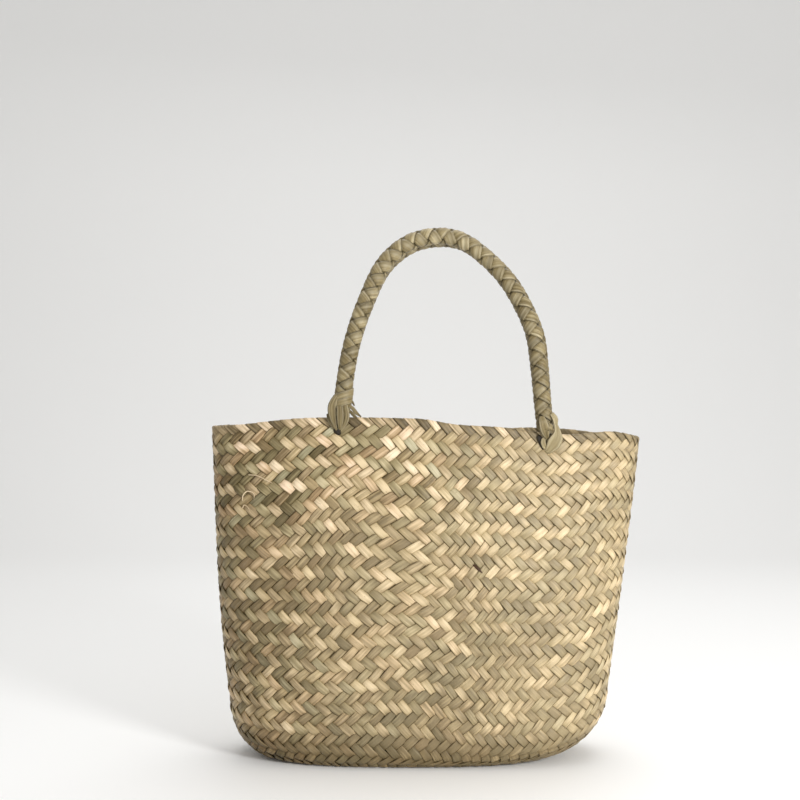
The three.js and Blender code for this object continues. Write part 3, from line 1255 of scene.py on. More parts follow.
@dataclass(frozen=True)
class FadingAndPaintedLight:
    """Painted light and shade, in shares of the straw's tone, and how far the straw has faded to one straw
    colour. Places and bands are in metres.
    """

    # A painted highlight high on the left of the front
    painted_highlight: float = 0.3
    painted_highlight_place: tuple = (-0.032, 0.235)
    painted_highlight_size: tuple = (0.07, 0.055)
    # Painted light: paler higher up and towards the right
    rise: float = 0.15
    rise_height: float = 0.26
    rise_middle: float = 0.62
    slope: float = 0.66
    slope_x: float = -0.02
    # Painted shade at the foot, where the wall curls under
    foot: float = 1.0
    foot_band: tuple = (0.035, 0.004)
    corner: float = 0.3
    corner_across: tuple = (0.0, 0.09)
    corner_up: tuple = (0.16, 0.25)
    faded: float = 0.2
    faded_more: float = 0.25
    faded_left: tuple = (-0.12, -0.05)
    faded_right: tuple = (0.0, 0.1)
    fresh: float = 0.4
    fresh_up: tuple = (0.17, 0.23)
    fresh_across: tuple = (0.06, -0.02)

    def tone(self, centre: Array) -> Array:
        """Work out the painted light and shade on the tone: a painted highlight high on the left of the front,
        painted light from above and from the right, painted shade at the foot, and darker high on the right.

        Args:
            centre: Points along a strand.

        Returns:
            What to add to the tone at each point.
        """
        x, z = centre[:, 0], centre[:, 2]
        away = (centre[:, [0, 2]] - self.painted_highlight_place) / self.painted_highlight_size
        painted_highlight = self.painted_highlight * np.exp(-(away**2).sum(-1))
        rise = self.rise * (z / self.rise_height - self.rise_middle)
        corner = self.corner * smooth(*self.corner_across, x) * smooth(*self.corner_up, z)
        return painted_highlight + rise + self.slope * (x - self.slope_x) - self.foot * smooth(*self.foot_band, z) - corner

    def fading(self, centre: Array) -> Array:
        """Work out how far the strands have faded to one straw colour: most at the right end; where they have
        faded, the painted shade is weaker.

        Args:
            centre: Points along a strand.

        Returns:
            The fading at each point, from 0 to 1.
        """
        x, z = centre[:, 0], centre[:, 2]
        fresh = self.fresh * smooth(*self.fresh_up, z) * smooth(*self.fresh_across, x)
        more = self.faded_more * (smooth(*self.faded_left, x) + smooth(*self.faded_right, x))
        return np.clip(self.faded + more - fresh, 0, 1)


TONE_SHARES = {Tone.OLIVE: 22, Tone.STRAW: 22, Tone.CREAM: 19, Tone.SAGE: 5}
FINISHES = {Tone.OLIVE: OLIVE, Tone.STRAW: STRAW, Tone.CREAM: CREAM, Tone.BLUSH: BLUSH, Tone.SAGE: SAGE}
STRAND_HALF_WIDTH = 3.1 * MM


@dataclass
class PlaitedShell:
    """The basket's walls and base, plaited from strands that run from rim to rim under the base."""

    lattice: Lattice
    swing: float = 0.95 * MM
    flat_swing: float = 0.6
    arch_power: float = 2.0
    period: int = 4
    crest_shift: float = 1.5
    thickness: float = 0.9 * MM
    falling_fill: float = 1.12
    rising_fill: float = 1.04
    fill_spread: float = 0.025
    left_swell: float = 0.08
    right_swell: float = 0.04
    right_change: float = 0.06
    right_band: tuple = (-0.09, 0.07)
    right_relief: float = 0.5
    end_gap: float = 0.04
    end_band: tuple = (0.08, 0.15)
    sway: float = 0.045
    tilt: float = 0.3 * MM
    shingle: float = -0.25 * MM
    base_lift: float = 0.5 * MM
    lift_begins: int = 10
    lift_ends: int = 2
    # Painted shade at the foot, added to the depth
    foot_shade: float = 0.6
    foot_band: tuple = (0.03, 0.004)
    tone: float = 0.37
    tone_along: float = 0.28
    tone_spread: float = 0.26
    # Painted sheen: strands of one lean are paler on the left and darker on the right, those of the other lean
    # the reverse
    lean_sheen_left: float = 0.14
    lean_sheen_right: float = -0.16
    lean_sheen_band: tuple = (-0.05, 0.12)
    quarter_steps: int = 4
    start_under: float = 1.75
    start_over: float = 0.35
    step_past: float = 0.001
    seed: int = 11
    fading_and_painted_light: FadingAndPaintedLight = FadingAndPaintedLight()
    profile: StrandProfile = StrandProfile()

    def _side_of(self, m: int) -> tuple[Border, int, int]:
        """Find which side of the base a wall line meets, and where.

        Args:
            m: Half-step round the bag.

        Returns:
            The side, and the place's p and q.
        """
        grid = self.lattice
        along = (m - grid.corner) % grid.around
        if along <= grid.long:
            return Border.FRONT, along, 0
        if along <= grid.long + grid.short:
            return Border.RIGHT, grid.long, along - grid.long
        if along <= 2 * grid.long + grid.short:
            return Border.BACK, 2 * grid.long + grid.short - along, grid.short
        return Border.LEFT, 0, 2 * grid.long + 2 * grid.short - along

    @staticmethod
    def _turn_in(side: Border, dm: int, dn: int) -> tuple[int, int]:
        """Turn a wall direction into a base one."""
        return ((dm, dn), (-dn, dm), (-dm, -dn), (dn, -dm))[side.value]

    @staticmethod
    def _turn_out(side: Border, dp: int, dq: int) -> tuple[int, int]:
        """Turn a base direction into a wall one."""
        return ((dp, dq), (dq, -dp), (-dp, -dq), (-dq, dp))[side.value]

    def _leave_base(self, p: int, q: int, dp: int, dq: int) -> tuple[Border, int]:
        """March over the base to the side where a line leaves it.

        Args:
            p: Where the line starts along the base.
            q: Where it starts from front to back.
            dp: Its direction along the base.
            dq: Its direction from front to back.

        Returns:
            The side, and the number of steps.
        """
        grid = self.lattice
        to_end = grid.long - p if dp > 0 else p
        to_side = grid.short - q if dq > 0 else q
        if to_side < to_end:
            return (Border.BACK if dq > 0 else Border.FRONT), to_side
        return (Border.RIGHT if dp > 0 else Border.LEFT), to_end

    def paths(self) -> list[StrandPath]:
        """Follow every strand from rim to rim.

        Returns:
            The strands, each wall line in exactly one of them.
        """
        grid = self.lattice
        done, found = set(), []
        for first in range(0, grid.around, 2):
            for lean in (1, -1):
                if (lean, first % grid.around) in done:
                    continue
                found.append(self._follow(first, lean, done))
        return found

    def _follow(self, first: int, lean: int, done: set) -> StrandPath:
        """Follow the strand whose wall line passes the base's border at a given half-step.

        Args:
            first: Half-step round the bag where the line meets the base.
            lean: 1 if it leans to higher m on its way down, -1 if to lower.
            done: Lines already followed; both of this strand's are added.

        Returns:
            The strand's path.
        """
        grid = self.lattice
        done.add((lean, first))
        side, p, q = self._side_of(first)
        dp, dq = self._turn_in(side, lean, 1)
        out_side, steps = self._leave_base(p, q, dp, dq)
        out_p, out_q = p + dp * steps, q + dq * steps
        past = self.step_past
        last_m, _ = grid.to_wall(np.array(out_p + past * dp), np.array(out_q + past * dq))
        last = int(round(float(last_m))) % grid.around
        dm, dn = self._turn_out(out_side, dp, dq)
        done.add((-dm, last))
        fine = self.quarter_steps
        rows = np.arange(0, grid.down * fine + 1) / fine
        crossing = np.arange(1, steps * fine) / fine
        down_start = self.start_under if lean == 1 else self.start_over
        up_end = self.start_under if dm == -1 else self.start_over
        down = rows[rows >= down_start]
        up = rows[rows >= up_end][::-1]
        a = np.concatenate([first - lean * (grid.down - down), p + dp * crossing, last + dm * (grid.down - up)])
        b = np.concatenate([down, q + dq * crossing, up])
        on_base = np.repeat([False, True, False], [len(down), len(crossing), len(up)])
        directions = [(lean, 1)] * len(down) + [(dp, dq)] * len(crossing) + [(dm, dn)] * len(up)
        aside = np.array([(dy, -dx) for dx, dy in directions], float)
        over = np.concatenate(
            [
                self._lies_over(lean == 1, down),
                self._lies_over(dp == dq, q + dq * crossing),
                self._lies_over(dm == dn, up),
            ]
        )
        padded = np.pad(over, 1, mode="edge")
        over = np.where(b > grid.down - 1, (padded[:-2] + 2 * over + padded[2:]) / 4, over)
        return StrandPath(on_base, a, b, aside, over)

    def _lies_over(self, falling: bool, rows: Array) -> Array:
        """Work out how high a strand lies: it arches over two crossings and dips under two.

        Args:
            falling: Whether it leans to the right going down.
            rows: Places along it in half-steps.

        Returns:
            Its height at each place, from -1 to 1.
        """
        from_crest = np.abs((rows + self.crest_shift) % self.period - self.period / 2)
        arch = 1 - np.minimum(from_crest, 1) ** self.arch_power
        dip = 1 - (2 - np.maximum(from_crest, 1)) ** self.arch_power
        over = np.where(from_crest <= 1, arch, -dip)
        return over if falling else -over

    def _mesh_strand(
        self, path: StrandPath, rng: np.random.Generator, batch: RibbonBatch, grain: float
    ) -> None:
        """Turn one path into a ribbon.

        Args:
            path: The strand's way through the plait.
            rng: The generator to draw from.
            batch: The mesh to add the strand to.
            grain: Number that sets its grain.
        """
        across, lift = self.profile.arrays()
        falling = path.aside[:, 0] * path.aside[:, 1] < 0
        x = self.lattice.point(path.on_base, path.a, path.b)[:, 0]
        right = smooth(*self.right_band, x)
        falling_fill = self.falling_fill - self.right_change * right - self.end_gap * smooth(*self.end_band, x)
        rising_fill = self.rising_fill + self.right_change * right
        width = np.where(falling, falling_fill, rising_fill) + rng.normal(0, self.fill_spread)
        index = np.arange(len(path.a)) / self.quarter_steps / 2
        mood, tilt, shift, swell = (wavering(rng, index) for _ in range(4))
        width = width * (1 + blend(self.left_swell, self.right_swell, right) * swell)
        reach = across * width[:, None] / 2 + (shift * self.sway)[:, None]
        a = path.a[:, None] + path.aside[:, :1] * reach
        b = path.b[:, None] + path.aside[:, 1:] * reach
        height = self._heights(path, right, tilt, falling)
        on_base = np.repeat(path.on_base[:, None], across.size, 1)
        rings = self.lattice.place(on_base, a, b, height)
        centre = rings.mean(1)
        # Painted shade where a strand dips under its neighbours, seen from outside; on its inner face it goes
        # the other way round
        depth = (1 - path.over[:, None] * np.clip(lift / FACE, -1, 1)) / 2
        # Painted shade towards the foot
        depth = depth + self.foot_shade * smooth(*self.foot_band, centre[:, 2:])
        tone = self.tone + self.tone_along * mood + rng.uniform(-self.tone_spread, self.tone_spread)
        # Painted light and shade by place on the bag
        tone = tone + self.fading_and_painted_light.tone(centre)
        # Painted sheen that depends on which way the strand leans
        lean_sheen = blend(self.lean_sheen_left, self.lean_sheen_right, smooth(*self.lean_sheen_band, centre[:, 0]))
        tone = np.clip(tone + np.where(falling, 1, -1) * lean_sheen, 0, 1)[:, None]
        sunned = self.fading_and_painted_light.fading(centre)[:, None]
        batch.add(rings, Marks(STRAND_HALF_WIDTH, grain, depth, sunned, tone))

    def _heights(self, path: StrandPath, right: Array, tilt: Array, falling: Array) -> Array:
        """Work out how high each point of a strand's section lies over the plait's middle layer.

        Args:
            path: The strand's way through the plait.
            right: How far towards the right end each step lies, where the plait is flatter.
            tilt: How far each step tips sideways.
            falling: Whether the strand leans to the right going down, by step.

        Returns:
            Heights by step and place round the section.
        """
        across, lift = self.profile.arrays()
        relief = blend(1.0, self.right_relief, right)[:, None]
        section = np.where(np.abs(across) == 1, blend(FACE, lift, relief), lift)
        wave = path.over[:, None] * self.swing * blend(self.flat_swing, 1.0, relief)
        lean = tilt * self.tilt + np.where(falling, self.shingle, 0.0)
        down = self.lattice.down
        low = np.where(path.on_base, 1.0, smooth(down - self.lift_begins, down - self.lift_ends, path.b))
        return wave + section * self.thickness + lean[:, None] * across - self.base_lift * low[:, None]

    def build(self) -> list[bpy.types.Object]:
        """Make the pieces, one for each tone of strand.

        Returns:
            The pieces.
        """
        rng = np.random.default_rng(self.seed)
        paths = self.paths()
        LOG.info("plait: %d strands", len(paths))
        deck = [tone for tone, count in TONE_SHARES.items() for _ in range(count)]
        deck += [Tone.BLUSH] * (len(paths) - len(deck))
        rng.shuffle(deck)
        batches = {tone: RibbonBatch(self.profile) for tone in Tone}
        for number, (path, tone) in enumerate(zip(paths, deck, strict=True)):
            self._mesh_strand(path, rng, batches[tone], float(number))
        pieces = []
        for tone, batch in batches.items():
            piece = batch.build(f"plait_{tone.name.lower()}_strands", FINISHES[tone].build())
            LOG.info("%s: %d triangles", piece.name, batch.triangles())
            dress(piece, "basket_straw", "basket_body")
            pieces.append(piece)
        return pieces


@dataclass(frozen=True)
class RollRow:
    """How high a rim leaf lies, in millimetres, at half-steps down outside the edge, or below 0 inside it."""

    place: float
    height: float


RIM_ROLL = (
    RollRow(-2.6, 0.9),
    RollRow(-2.2, 1.25),
    RollRow(0.6, 1.2),
    RollRow(1.2, 0.72),
    RollRow(1.55, 0.4),
    RollRow(2.2, -0.45),
)


@dataclass
class RimFold:
    """The rim: each strand that leans to the right going down comes over the edge as a leaf from the inside."""

    lattice: Lattice
    thickness: float = 0.62 * MM
    inside: float = 2.6
    bottom: float = 2.2
    turn_in: float = 0.3
    fill: float = 1.12
    narrowest: float = 0.92
    sag: float = 0.06 * MM
    twist: float = 0.16 * MM
    outer_shade: tuple = (1.1, 2.0)
    inner_shade: tuple = (0.5, 2.4)
    faded: float = 0.1
    faded_more: float = 0.3
    faded_band: tuple = (-0.05, 0.12)
    tone: float = 0.4
    # A painted highlight on the leaves left of the middle
    painted_highlight: float = 0.12
    painted_highlight_x: float = -0.03
    painted_highlight_width: float = 0.06
    right_dimming: float = 0.2
    right_band: tuple = (0.03, 0.12)
    contrast: float = 0.2
    tone_spread: float = 0.16
    darkest: float = 0.08
    steps: int = 40
    first_grain: float = 200.0
    seed: int = 23
    profile: StrandProfile = StrandProfile(
        (-1.0, -0.75, -0.45, -0.15, 0.15, 0.45, 0.75, 1.0, 0.75, 0.45, 0.15, -0.15, -0.45, -0.75),
        (-0.1, 0.48, 0.5, 0.5, 0.5, 0.5, 0.48, -0.1, -0.5, -0.5, -0.5, -0.5, -0.5, -0.5),
    )

    def _rolled(self, m: Array, v: Array, height: Array) -> Array:
        """Map places on the sheet that rolls over the edge.

        Args:
            m: Half-steps round the bag.
            v: Half-steps down outside the edge, or below 0 inside it.
            height: Height over the plait's middle layer.

        Returns:
            The points.
        """
        grid = self.lattice
        none = np.zeros(m.shape, bool)
        outer = np.maximum(np.abs(v), self.turn_in)
        middle = grid.place(none, m, outer, np.zeros(m.shape))
        outward = unit(grid.place(none, m, outer, np.full(m.shape, 1 * MM)) - middle)
        level = unit(outward * np.array([1.0, 1.0, 0.0]))
        angle = (math.pi / 2) * (1 - np.clip(v / self.turn_in, -1, 1))
        direction = np.cos(angle)[..., None] * level + np.sin(angle)[..., None] * UP
        straight = np.where((v > 0)[..., None], outward, -outward)
        aim = np.where((np.abs(v) >= self.turn_in)[..., None], straight, direction)
        return middle + aim * height[..., None]

    def _tone(self, x: float, number: int, rng: np.random.Generator) -> float:
        """Draw a leaf's tone: pale and dark ones take turns, those left of the middle get a painted highlight,
        and those on the right are darker.

        Args:
            x: Place across the bag.
            number: The leaf's number round the rim.
            rng: The generator to draw from.

        Returns:
            The tone.
        """
        # Painted highlight left of the middle
        painted_highlight = self.painted_highlight * math.exp(-(((x - self.painted_highlight_x) / self.painted_highlight_width) ** 2))
        tone = self.tone + painted_highlight - self.right_dimming * float(smooth(*self.right_band, x))
        tone += (self.contrast if number % 2 else -self.contrast) + rng.normal(0, self.tone_spread)
        return float(np.clip(tone, self.darkest, 1.0))

    def build(self) -> bpy.types.Object:
        """Make the row of leaves.

        Returns:
            The piece.
        """
        rng = np.random.default_rng(self.seed)
        across, lift = self.profile.arrays()
        batch = RibbonBatch(self.profile)
        v = np.linspace(self.bottom, -self.inside, self.steps)
        level = np.interp(v, [row.place for row in RIM_ROLL], [row.height for row in RIM_ROLL]) * MM
        depth = np.clip(smooth(*self.outer_shade, v) + smooth(*self.inner_shade, -v), 0, 1)[:, None]
        for number, line in enumerate(range(0, self.lattice.around, 2)):
            reach = across * rng.uniform(self.narrowest, 1.0) * self.fill / 2
            sag = rng.uniform(-1, 1) * self.sag
            height = level[:, None] + lift * self.thickness - across * self.twist + sag
            rings = self._rolled(line + v[:, None] + reach, v[:, None] - reach, height)
            x = rings.mean(1)[:, :1]
            sunned = self.faded + self.faded_more * smooth(*self.faded_band, x)
            tone = self._tone(x.mean(), number, rng)
            batch.add(rings, Marks(STRAND_HALF_WIDTH, self.first_grain + number, depth, sunned, tone))
        piece = batch.build("rim_folded_strands", MIXED.build())
        dress(piece, "rim_straw", "rim_fold")
        return piece


# The handles


@dataclass(frozen=True)
class HandleRow:
    """A place on a handle's middle line, in shares of its span, its rise and its lean."""

    across: float
    rise: float
    lean: float


HANDLE_BENDS = (
    HandleRow(0.012, 0.13, 0.03),
    HandleRow(0.051, 0.393, 0.24),
    HandleRow(0.123, 0.64, 0.5),
    HandleRow(0.216, 0.85, 0.78),
    HandleRow(0.344, 0.967, 0.95),
    HandleRow(0.489, 1.0, 1.0),
    HandleRow(0.595, 0.976, 0.97),
    HandleRow(0.697, 0.897, 0.88),
    HandleRow(0.807, 0.77, 0.7),
    HandleRow(0.885, 0.627, 0.52),
    HandleRow(0.946, 0.46, 0.34),
    HandleRow(0.968, 0.285, 0.17),
    HandleRow(0.985, 0.07, 0.02),
)


@dataclass(frozen=True)
class BraidStrand:
    """A strand of the braid: the way that it winds, 1 or -1, and the quarter of the round that it starts in."""

    lean: int
    start: int


BRAID = (BraidStrand(1, 0), BraidStrand(1, 2), BraidStrand(-1, 0), BraidStrand(-1, 2))


@dataclass
class BraidedHandle:
    """A handle braided from four flat strands round a core."""

    form: BasketForm
    side: Side
    left_x: float
    span: float
    rise: float = 144 * MM
    diameter: float = 14 * MM
    crest: float = 8.55 * MM
    seat_lift: float = 0.5 * MM
    braid_pitch: float = 25 * MM
    swing: float = 0.55 * MM
    thickness: float = 0.7 * MM
    flatness: float = 1.5
    fill: float = 0.97
    swell: float = 0.05
    swell_rate: float = 0.83
    half_width: float = 5 * MM
    tone: float = 0.48
    tone_along: float = 0.2
    crest_tone: float = 0.14
    crest_from: float = 0.33
    crest_height: float = 0.09
    fine: int = 7
    samples: int = 400
    first_grain: float = 300.0
    side_grain: float = 10.0
    seed: int = 31
    profile: StrandProfile = StrandProfile(
        (-1.0, -0.6, 0.0, 0.6, 1.0, 0.6, 0.0, -0.6),
        (-0.3, 0.4, 0.62, 0.4, -0.3, -0.5, -0.5, -0.5),
    )

    def __post_init__(self) -> None:
        """Lay out the middle line."""
        self.line = self._middle_line()
        self.length = float(np.linalg.norm(np.diff(self.line, axis=0), axis=-1).sum())

    def _middle_line(self) -> Array:
        """Find the handle's middle line.

        Returns:
            Points at even steps from the left seat to the right one.
        """
        ends = (self.left_x, self.left_x + self.span)
        seats = [self.form.rim_seat(x, self.side)[0] + UP * self.seat_lift for x in ends]
        points = [seats[0]]
        for row in HANDLE_BENDS:
            wall_y = blend(seats[0][1], seats[1][1], row.across)
            y = blend(wall_y, self.side.value * self.crest, row.lean)
            height = self.form.body_height + row.rise * self.rise
            points.append([self.left_x + row.across * self.span, y, height])
        return even_spline(np.array([*points, seats[1]]), self.samples + 1)

    def _add_strand(
        self, number: int, strand: BraidStrand, rng: np.random.Generator, batch: RibbonBatch
    ) -> None:
        """Wind one strand of the braid round the middle line.

        Args:
            number: The strand's number.
            strand: The way that it winds and where it starts.
            rng: The generator to draw from.
            batch: The mesh to add it to.
        """
        line = self.line
        forward = unit(np.gradient(line, axis=0))
        facing = unit(np.cross(line[self.samples // 2] - line[0], line[-1] - line[0]))
        side = unit(facing - (forward @ facing)[:, None] * forward)
        outward = np.cross(forward, side)
        cells = round(self.length / (self.braid_pitch / len(BRAID)))
        across, lift = self.profile.arrays()
        radius = self.diameter / 2 - self.swing - self.thickness * lift.max()
        k = np.arange(cells * self.fine + 1) / self.fine
        over = np.clip(np.cos(math.pi * k) * strand.lean * self.flatness, -1, 1)
        floats = rng.uniform(-1, 1, cells // 2 + 3)
        mood = np.interp(k / 2, np.arange(len(floats)), floats)
        width = self.fill * (1 + self.swell * np.sin(k * self.swell_rate + number))
        reach = across * width[:, None] / 2
        quarter = strand.start + strand.lean * (k[:, None] - reach) + 0.5
        place = np.clip(k[:, None] + reach, 0.0, float(cells)) / cells * self.samples
        low = np.minimum(np.floor(place).astype(int), self.samples - 1)
        share = (place - low)[..., None]
        middle, sides, outs = (blend(a[low], a[low + 1], share) for a in (line, side, outward))
        angle = (quarter * math.pi / 2)[..., None]
        spoke = unit(np.cos(angle) * sides + np.sin(angle) * outs)
        height = radius + over[:, None] * self.swing + lift * self.thickness
        rings = (middle + spoke * height[..., None])[:, :: -strand.lean]
        crest = np.clip((rings.mean(1)[:, 2] - self.crest_from) / self.crest_height, 0, 1)
        tone = np.clip(self.tone + self.tone_along * mood + self.crest_tone * crest, 0, 1)
        grain = self.first_grain + number + self.side_grain * self.side.value
        # Painted shade where a strand dips under the others
        batch.add(rings, Marks(self.half_width, grain, (0.5 - 0.5 * over)[:, None], 0.0, tone[:, None]))

    def build(self) -> bpy.types.Object:
        """Make the braid.

        Returns:
            The piece.
        """
        rng = np.random.default_rng(self.seed + self.side.value)
        batch = RibbonBatch(self.profile)
        for number, strand in enumerate(BRAID):
            self._add_strand(number, strand, rng, batch)
        braid = batch.build(f"braid_{self.side.name.lower()}", HANDLE.build())
        dress(braid, "handle_straw", f"handle_{self.side.name.lower()}")
        return braid


def even_spline(points: Array, count: int) -> Array:
    """Run a centripetal Catmull-Rom spline through points and place new ones at even steps along it.

    Args:
        points: The points to pass through.
        count: How many points to return.

    Returns:
        The new points.
    """
    ends = [2 * points[0] - points[1], *points, 2 * points[-1] - points[-2]]
    knots = np.array(ends)
    fine = []
    share = np.linspace(0, 1, CURVE_STEPS, endpoint=False)[:, None]
    for i in range(1, len(knots) - 2):
        p0, p1, p2, p3 = knots[i - 1 : i + 3]
        t0 = 0.0
        t1 = np.linalg.norm(p1 - p0) ** 0.5
        t2 = t1 + np.linalg.norm(p2 - p1) ** 0.5
        t3 = t2 + np.linalg.norm(p3 - p2) ** 0.5
        t = t1 + (t2 - t1) * share
        a1 = (t1 - t) / (t1 - t0) * p0 + (t - t0) / (t1 - t0) * p1
        a2 = (t2 - t) / (t2 - t1) * p1 + (t - t1) / (t2 - t1) * p2
        a3 = (t3 - t) / (t3 - t2) * p2 + (t - t2) / (t3 - t2) * p3
        b1 = (t2 - t) / (t2 - t0) * a1 + (t - t0) / (t2 - t0) * a2
        b2 = (t3 - t) / (t3 - t1) * a2 + (t - t1) / (t3 - t1) * a3
        fine.append((t2 - t) / (t2 - t1) * b1 + (t - t1) / (t2 - t1) * b2)
    track = np.concatenate([*fine, points[-1:]])
    lengths = np.concatenate([[0], np.cumsum(np.linalg.norm(np.diff(track, axis=0), axis=-1))])
    goal = np.linspace(0, lengths[-1], count)
    return np.stack([np.interp(goal, lengths, track[:, axis]) for axis in range(3)], -1)


# Ties and loose fibres


@dataclass(frozen=True)
class LeafRow:
    """A place on a flat strand of a tie, in millimetres: across, up from the rim and out from the wall."""

    across: float
    up: float
    out: float
    width: float


@dataclass(frozen=True)
class TieLeaf:
    """One flat strand of a tie: how pale it is, how far it turns aside, and whether it lies in the hole, where
    it is painted dark as the hole's shadow.
    """

    rows: tuple
    tone: float = 0.5
    turned: float = 0.0
    shadow_in_hole: bool = False


LEFT_TIE = (
    TieLeaf(
        (
            LeafRow(-4.6, -7.6, 0.9, 3.0),
            LeafRow(-3.0, -9.6, 0.9, 5.2),
            LeafRow(-1.4, -11.8, 0.7, 4.6),
            LeafRow(-0.6, -13.2, 0.4, 2.0),
        ),
        0.0,
        shadow_in_hole=True,
    ),
    TieLeaf(
        (
            LeafRow(-9.8, 3.0, 0.6, 2.4),
            LeafRow(-8.9, 0.6, 2.0, 3.8),
            LeafRow(-7.4, -3.0, 2.2, 4.2),
            LeafRow(-5.0, -7.4, 1.4, 3.0),
            LeafRow(-2.6, -10.0, -0.6, 1.4),
        ),
        0.3,
    ),
    TieLeaf(
        (
            LeafRow(-0.6, 19.0, 3.0, 3.0),
            LeafRow(-3.4, 14.6, 5.2, 5.4),
            LeafRow(-5.6, 9.0, 5.6, 7.0),
            LeafRow(-5.6, 2.6, 4.4, 7.4),
            LeafRow(-4.8, -3.6, 2.8, 5.0),
            LeafRow(-3.2, -8.6, 1.6, 2.6),
            LeafRow(-2.0, -10.6, -0.8, 1.4),
        ),
        0.42,
        0.2,
    ),
    TieLeaf(
        (
            LeafRow(0.2, 9.0, 7.2, 4.6),
            LeafRow(0.3, 5.0, 6.2, 5.4),
            LeafRow(0.3, -0.8, 4.4, 5.6),
            LeafRow(-0.2, -6.4, 2.4, 4.0),
            LeafRow(-1.0, -9.8, 0.2, 1.8),
        ),
        0.5,
    ),
    TieLeaf(
        (
            LeafRow(4.0, 9.6, 5.8, 4.4),
            LeafRow(4.6, 5.6, 5.4, 5.2),
            LeafRow(4.8, 0.8, 4.0, 5.4),
            LeafRow(3.2, -4.8, 2.6, 4.8),
            LeafRow(0.6, -8.6, 1.0, 2.6),
            LeafRow(-0.6, -10.2, -0.6, 1.4),
        ),
        0.62,
        -0.25,
    ),
    TieLeaf(
        (
            LeafRow(5.2, 5.0, 1.0, 1.6),
            LeafRow(6.6, 9.0, 0.4, 2.4),
            LeafRow(9.0, 7.4, 0.0, 3.0),
            LeafRow(12.4, 3.4, -0.4, 2.6),
            LeafRow(15.6, 0.6, -1.6, 1.0),
        ),
        0.7,
    ),
    TieLeaf(
        (
            LeafRow(4.6, 6.0, 0.0, 1.4),
            LeafRow(7.0, 11.6, -0.4, 2.0),
            LeafRow(8.6, 12.2, -0.4, 2.2),
            LeafRow(10.6, 9.0, -1.0, 0.8),
        ),
        0.62,
    ),
)

RIGHT_TIE = (
    TieLeaf(
        (
            LeafRow(-6.4, -3.0, 0.8, 3.0),
            LeafRow(-4.6, -6.4, 0.9, 4.6),
            LeafRow(-3.2, -10.4, 0.8, 4.0),
            LeafRow(-2.2, -13.6, 0.4, 2.0),
        ),
        0.0,
        shadow_in_hole=True,
    ),
    TieLeaf(
        (
            LeafRow(-4.6, 12.0, 5.0, 4.0),
            LeafRow(-4.0, 8.0, 6.4, 7.6),
            LeafRow(-2.6, 3.4, 5.6, 8.6),
            LeafRow(-0.6, -2.0, 3.6, 7.2),
            LeafRow(0.8, -6.4, 1.4, 3.2),
            LeafRow(1.2, -8.4, -0.6, 1.6),
        ),
        0.46,
        0.15,
    ),
    TieLeaf(
        (
            LeafRow(-6.6, 8.6, 2.0, 2.4),
            LeafRow(-5.4, 3.4, 3.0, 3.0),
            LeafRow(-3.2, -1.6, 2.2, 2.8),
            LeafRow(-1.0, -6.0, 0.6, 1.8),
        ),
        0.2,
    ),
    TieLeaf(
        (
            LeafRow(0.8, -6.6, 0.4, 2.0),
            LeafRow(-1.2, -4.8, 1.6, 3.2),
            LeafRow(-2.8, -7.4, 2.4, 4.2),
            LeafRow(-1.6, -11.4, 1.8, 4.0),
            LeafRow(0.6, -13.0, 0.0, 2.2),
        ),
        0.68,
    ),
    TieLeaf(
        (
            LeafRow(3.2, 14.0, 5.0, 3.4),
            LeafRow(5.8, 10.0, 5.6, 4.6),
            LeafRow(6.6, 5.6, 4.8, 2.8),
            LeafRow(7.8, 1.2, 4.4, 5.0),
            LeafRow(7.4, -4.2, 4.2, 10.0),
            LeafRow(4.6, -9.8, 3.4, 11.4),
            LeafRow(1.4, -14.4, 1.6, 7.6),
            LeafRow(-0.4, -16.2, -0.4, 3.0),
        ),
        0.9,
        -0.1,
    ),
)


@dataclass(frozen=True)
class Wrap:
    """A strand wound aslant round a handle's end, in millimetres and in turns.

    It runs square to the handle's line between its points ``aim_from`` and ``aim_to``.
    """

    start: float = 9.5
    end: float = 19.5
    turns: float = 1.9
    slant: float = 2.4
    first_turn: float = 0.2
    radius: float = 7.4
    width: float = 6.4
    sink: float = 1.2
    sink_share: float = 0.06
    aim_from: int = 4
    aim_to: int = 8
    half_width: float = 3.0
    grain: float = 560.0
    tone: float = 0.5
    steps: int = 70


INNER_TIE = (
    TieLeaf(
        (
            LeafRow(-2.8, 10.0, -8.4, 5.6),
            LeafRow(-3.0, 4.0, -7.0, 6.0),
            LeafRow(-2.6, -4.0, -4.8, 5.6),
            LeafRow(-2.0, -10.4, -2.6, 3.0),
        ),
        0.4,
    ),
    TieLeaf(
        (
            LeafRow(2.8, 9.0, -8.2, 5.6),
            LeafRow(2.8, 3.6, -7.0, 6.0),
            LeafRow(1.8, -4.4, -4.9, 5.6),
            LeafRow(-0.4, -10.6, -2.6, 3.0),
        ),
        0.55,
    ),
)


def leaf_rings(points: Array, widths: Array, outward: Array, thickness: float, profile: StrandProfile) -> Array:
    """Sweep a flat section along a line.

    Args:
        points: The line.
        widths: Width at each point.
        outward: The way that the flat side faces, one for all points or one for each.
        thickness: Thickness of the strand.
        profile: Its section.

    Returns:
        Rings of points.
    """
    forward = unit(np.gradient(points, axis=0))
    facing = unit(outward - (forward * outward).sum(-1, keepdims=True) * forward)
    aside = np.cross(forward, facing)
    across = np.array(profile.across)[:, None] * aside[:, None] * widths[:, None, None] / 2
    lift = np.array(profile.height)[:, None] * facing[:, None] * thickness
    return points[:, None] + across + lift


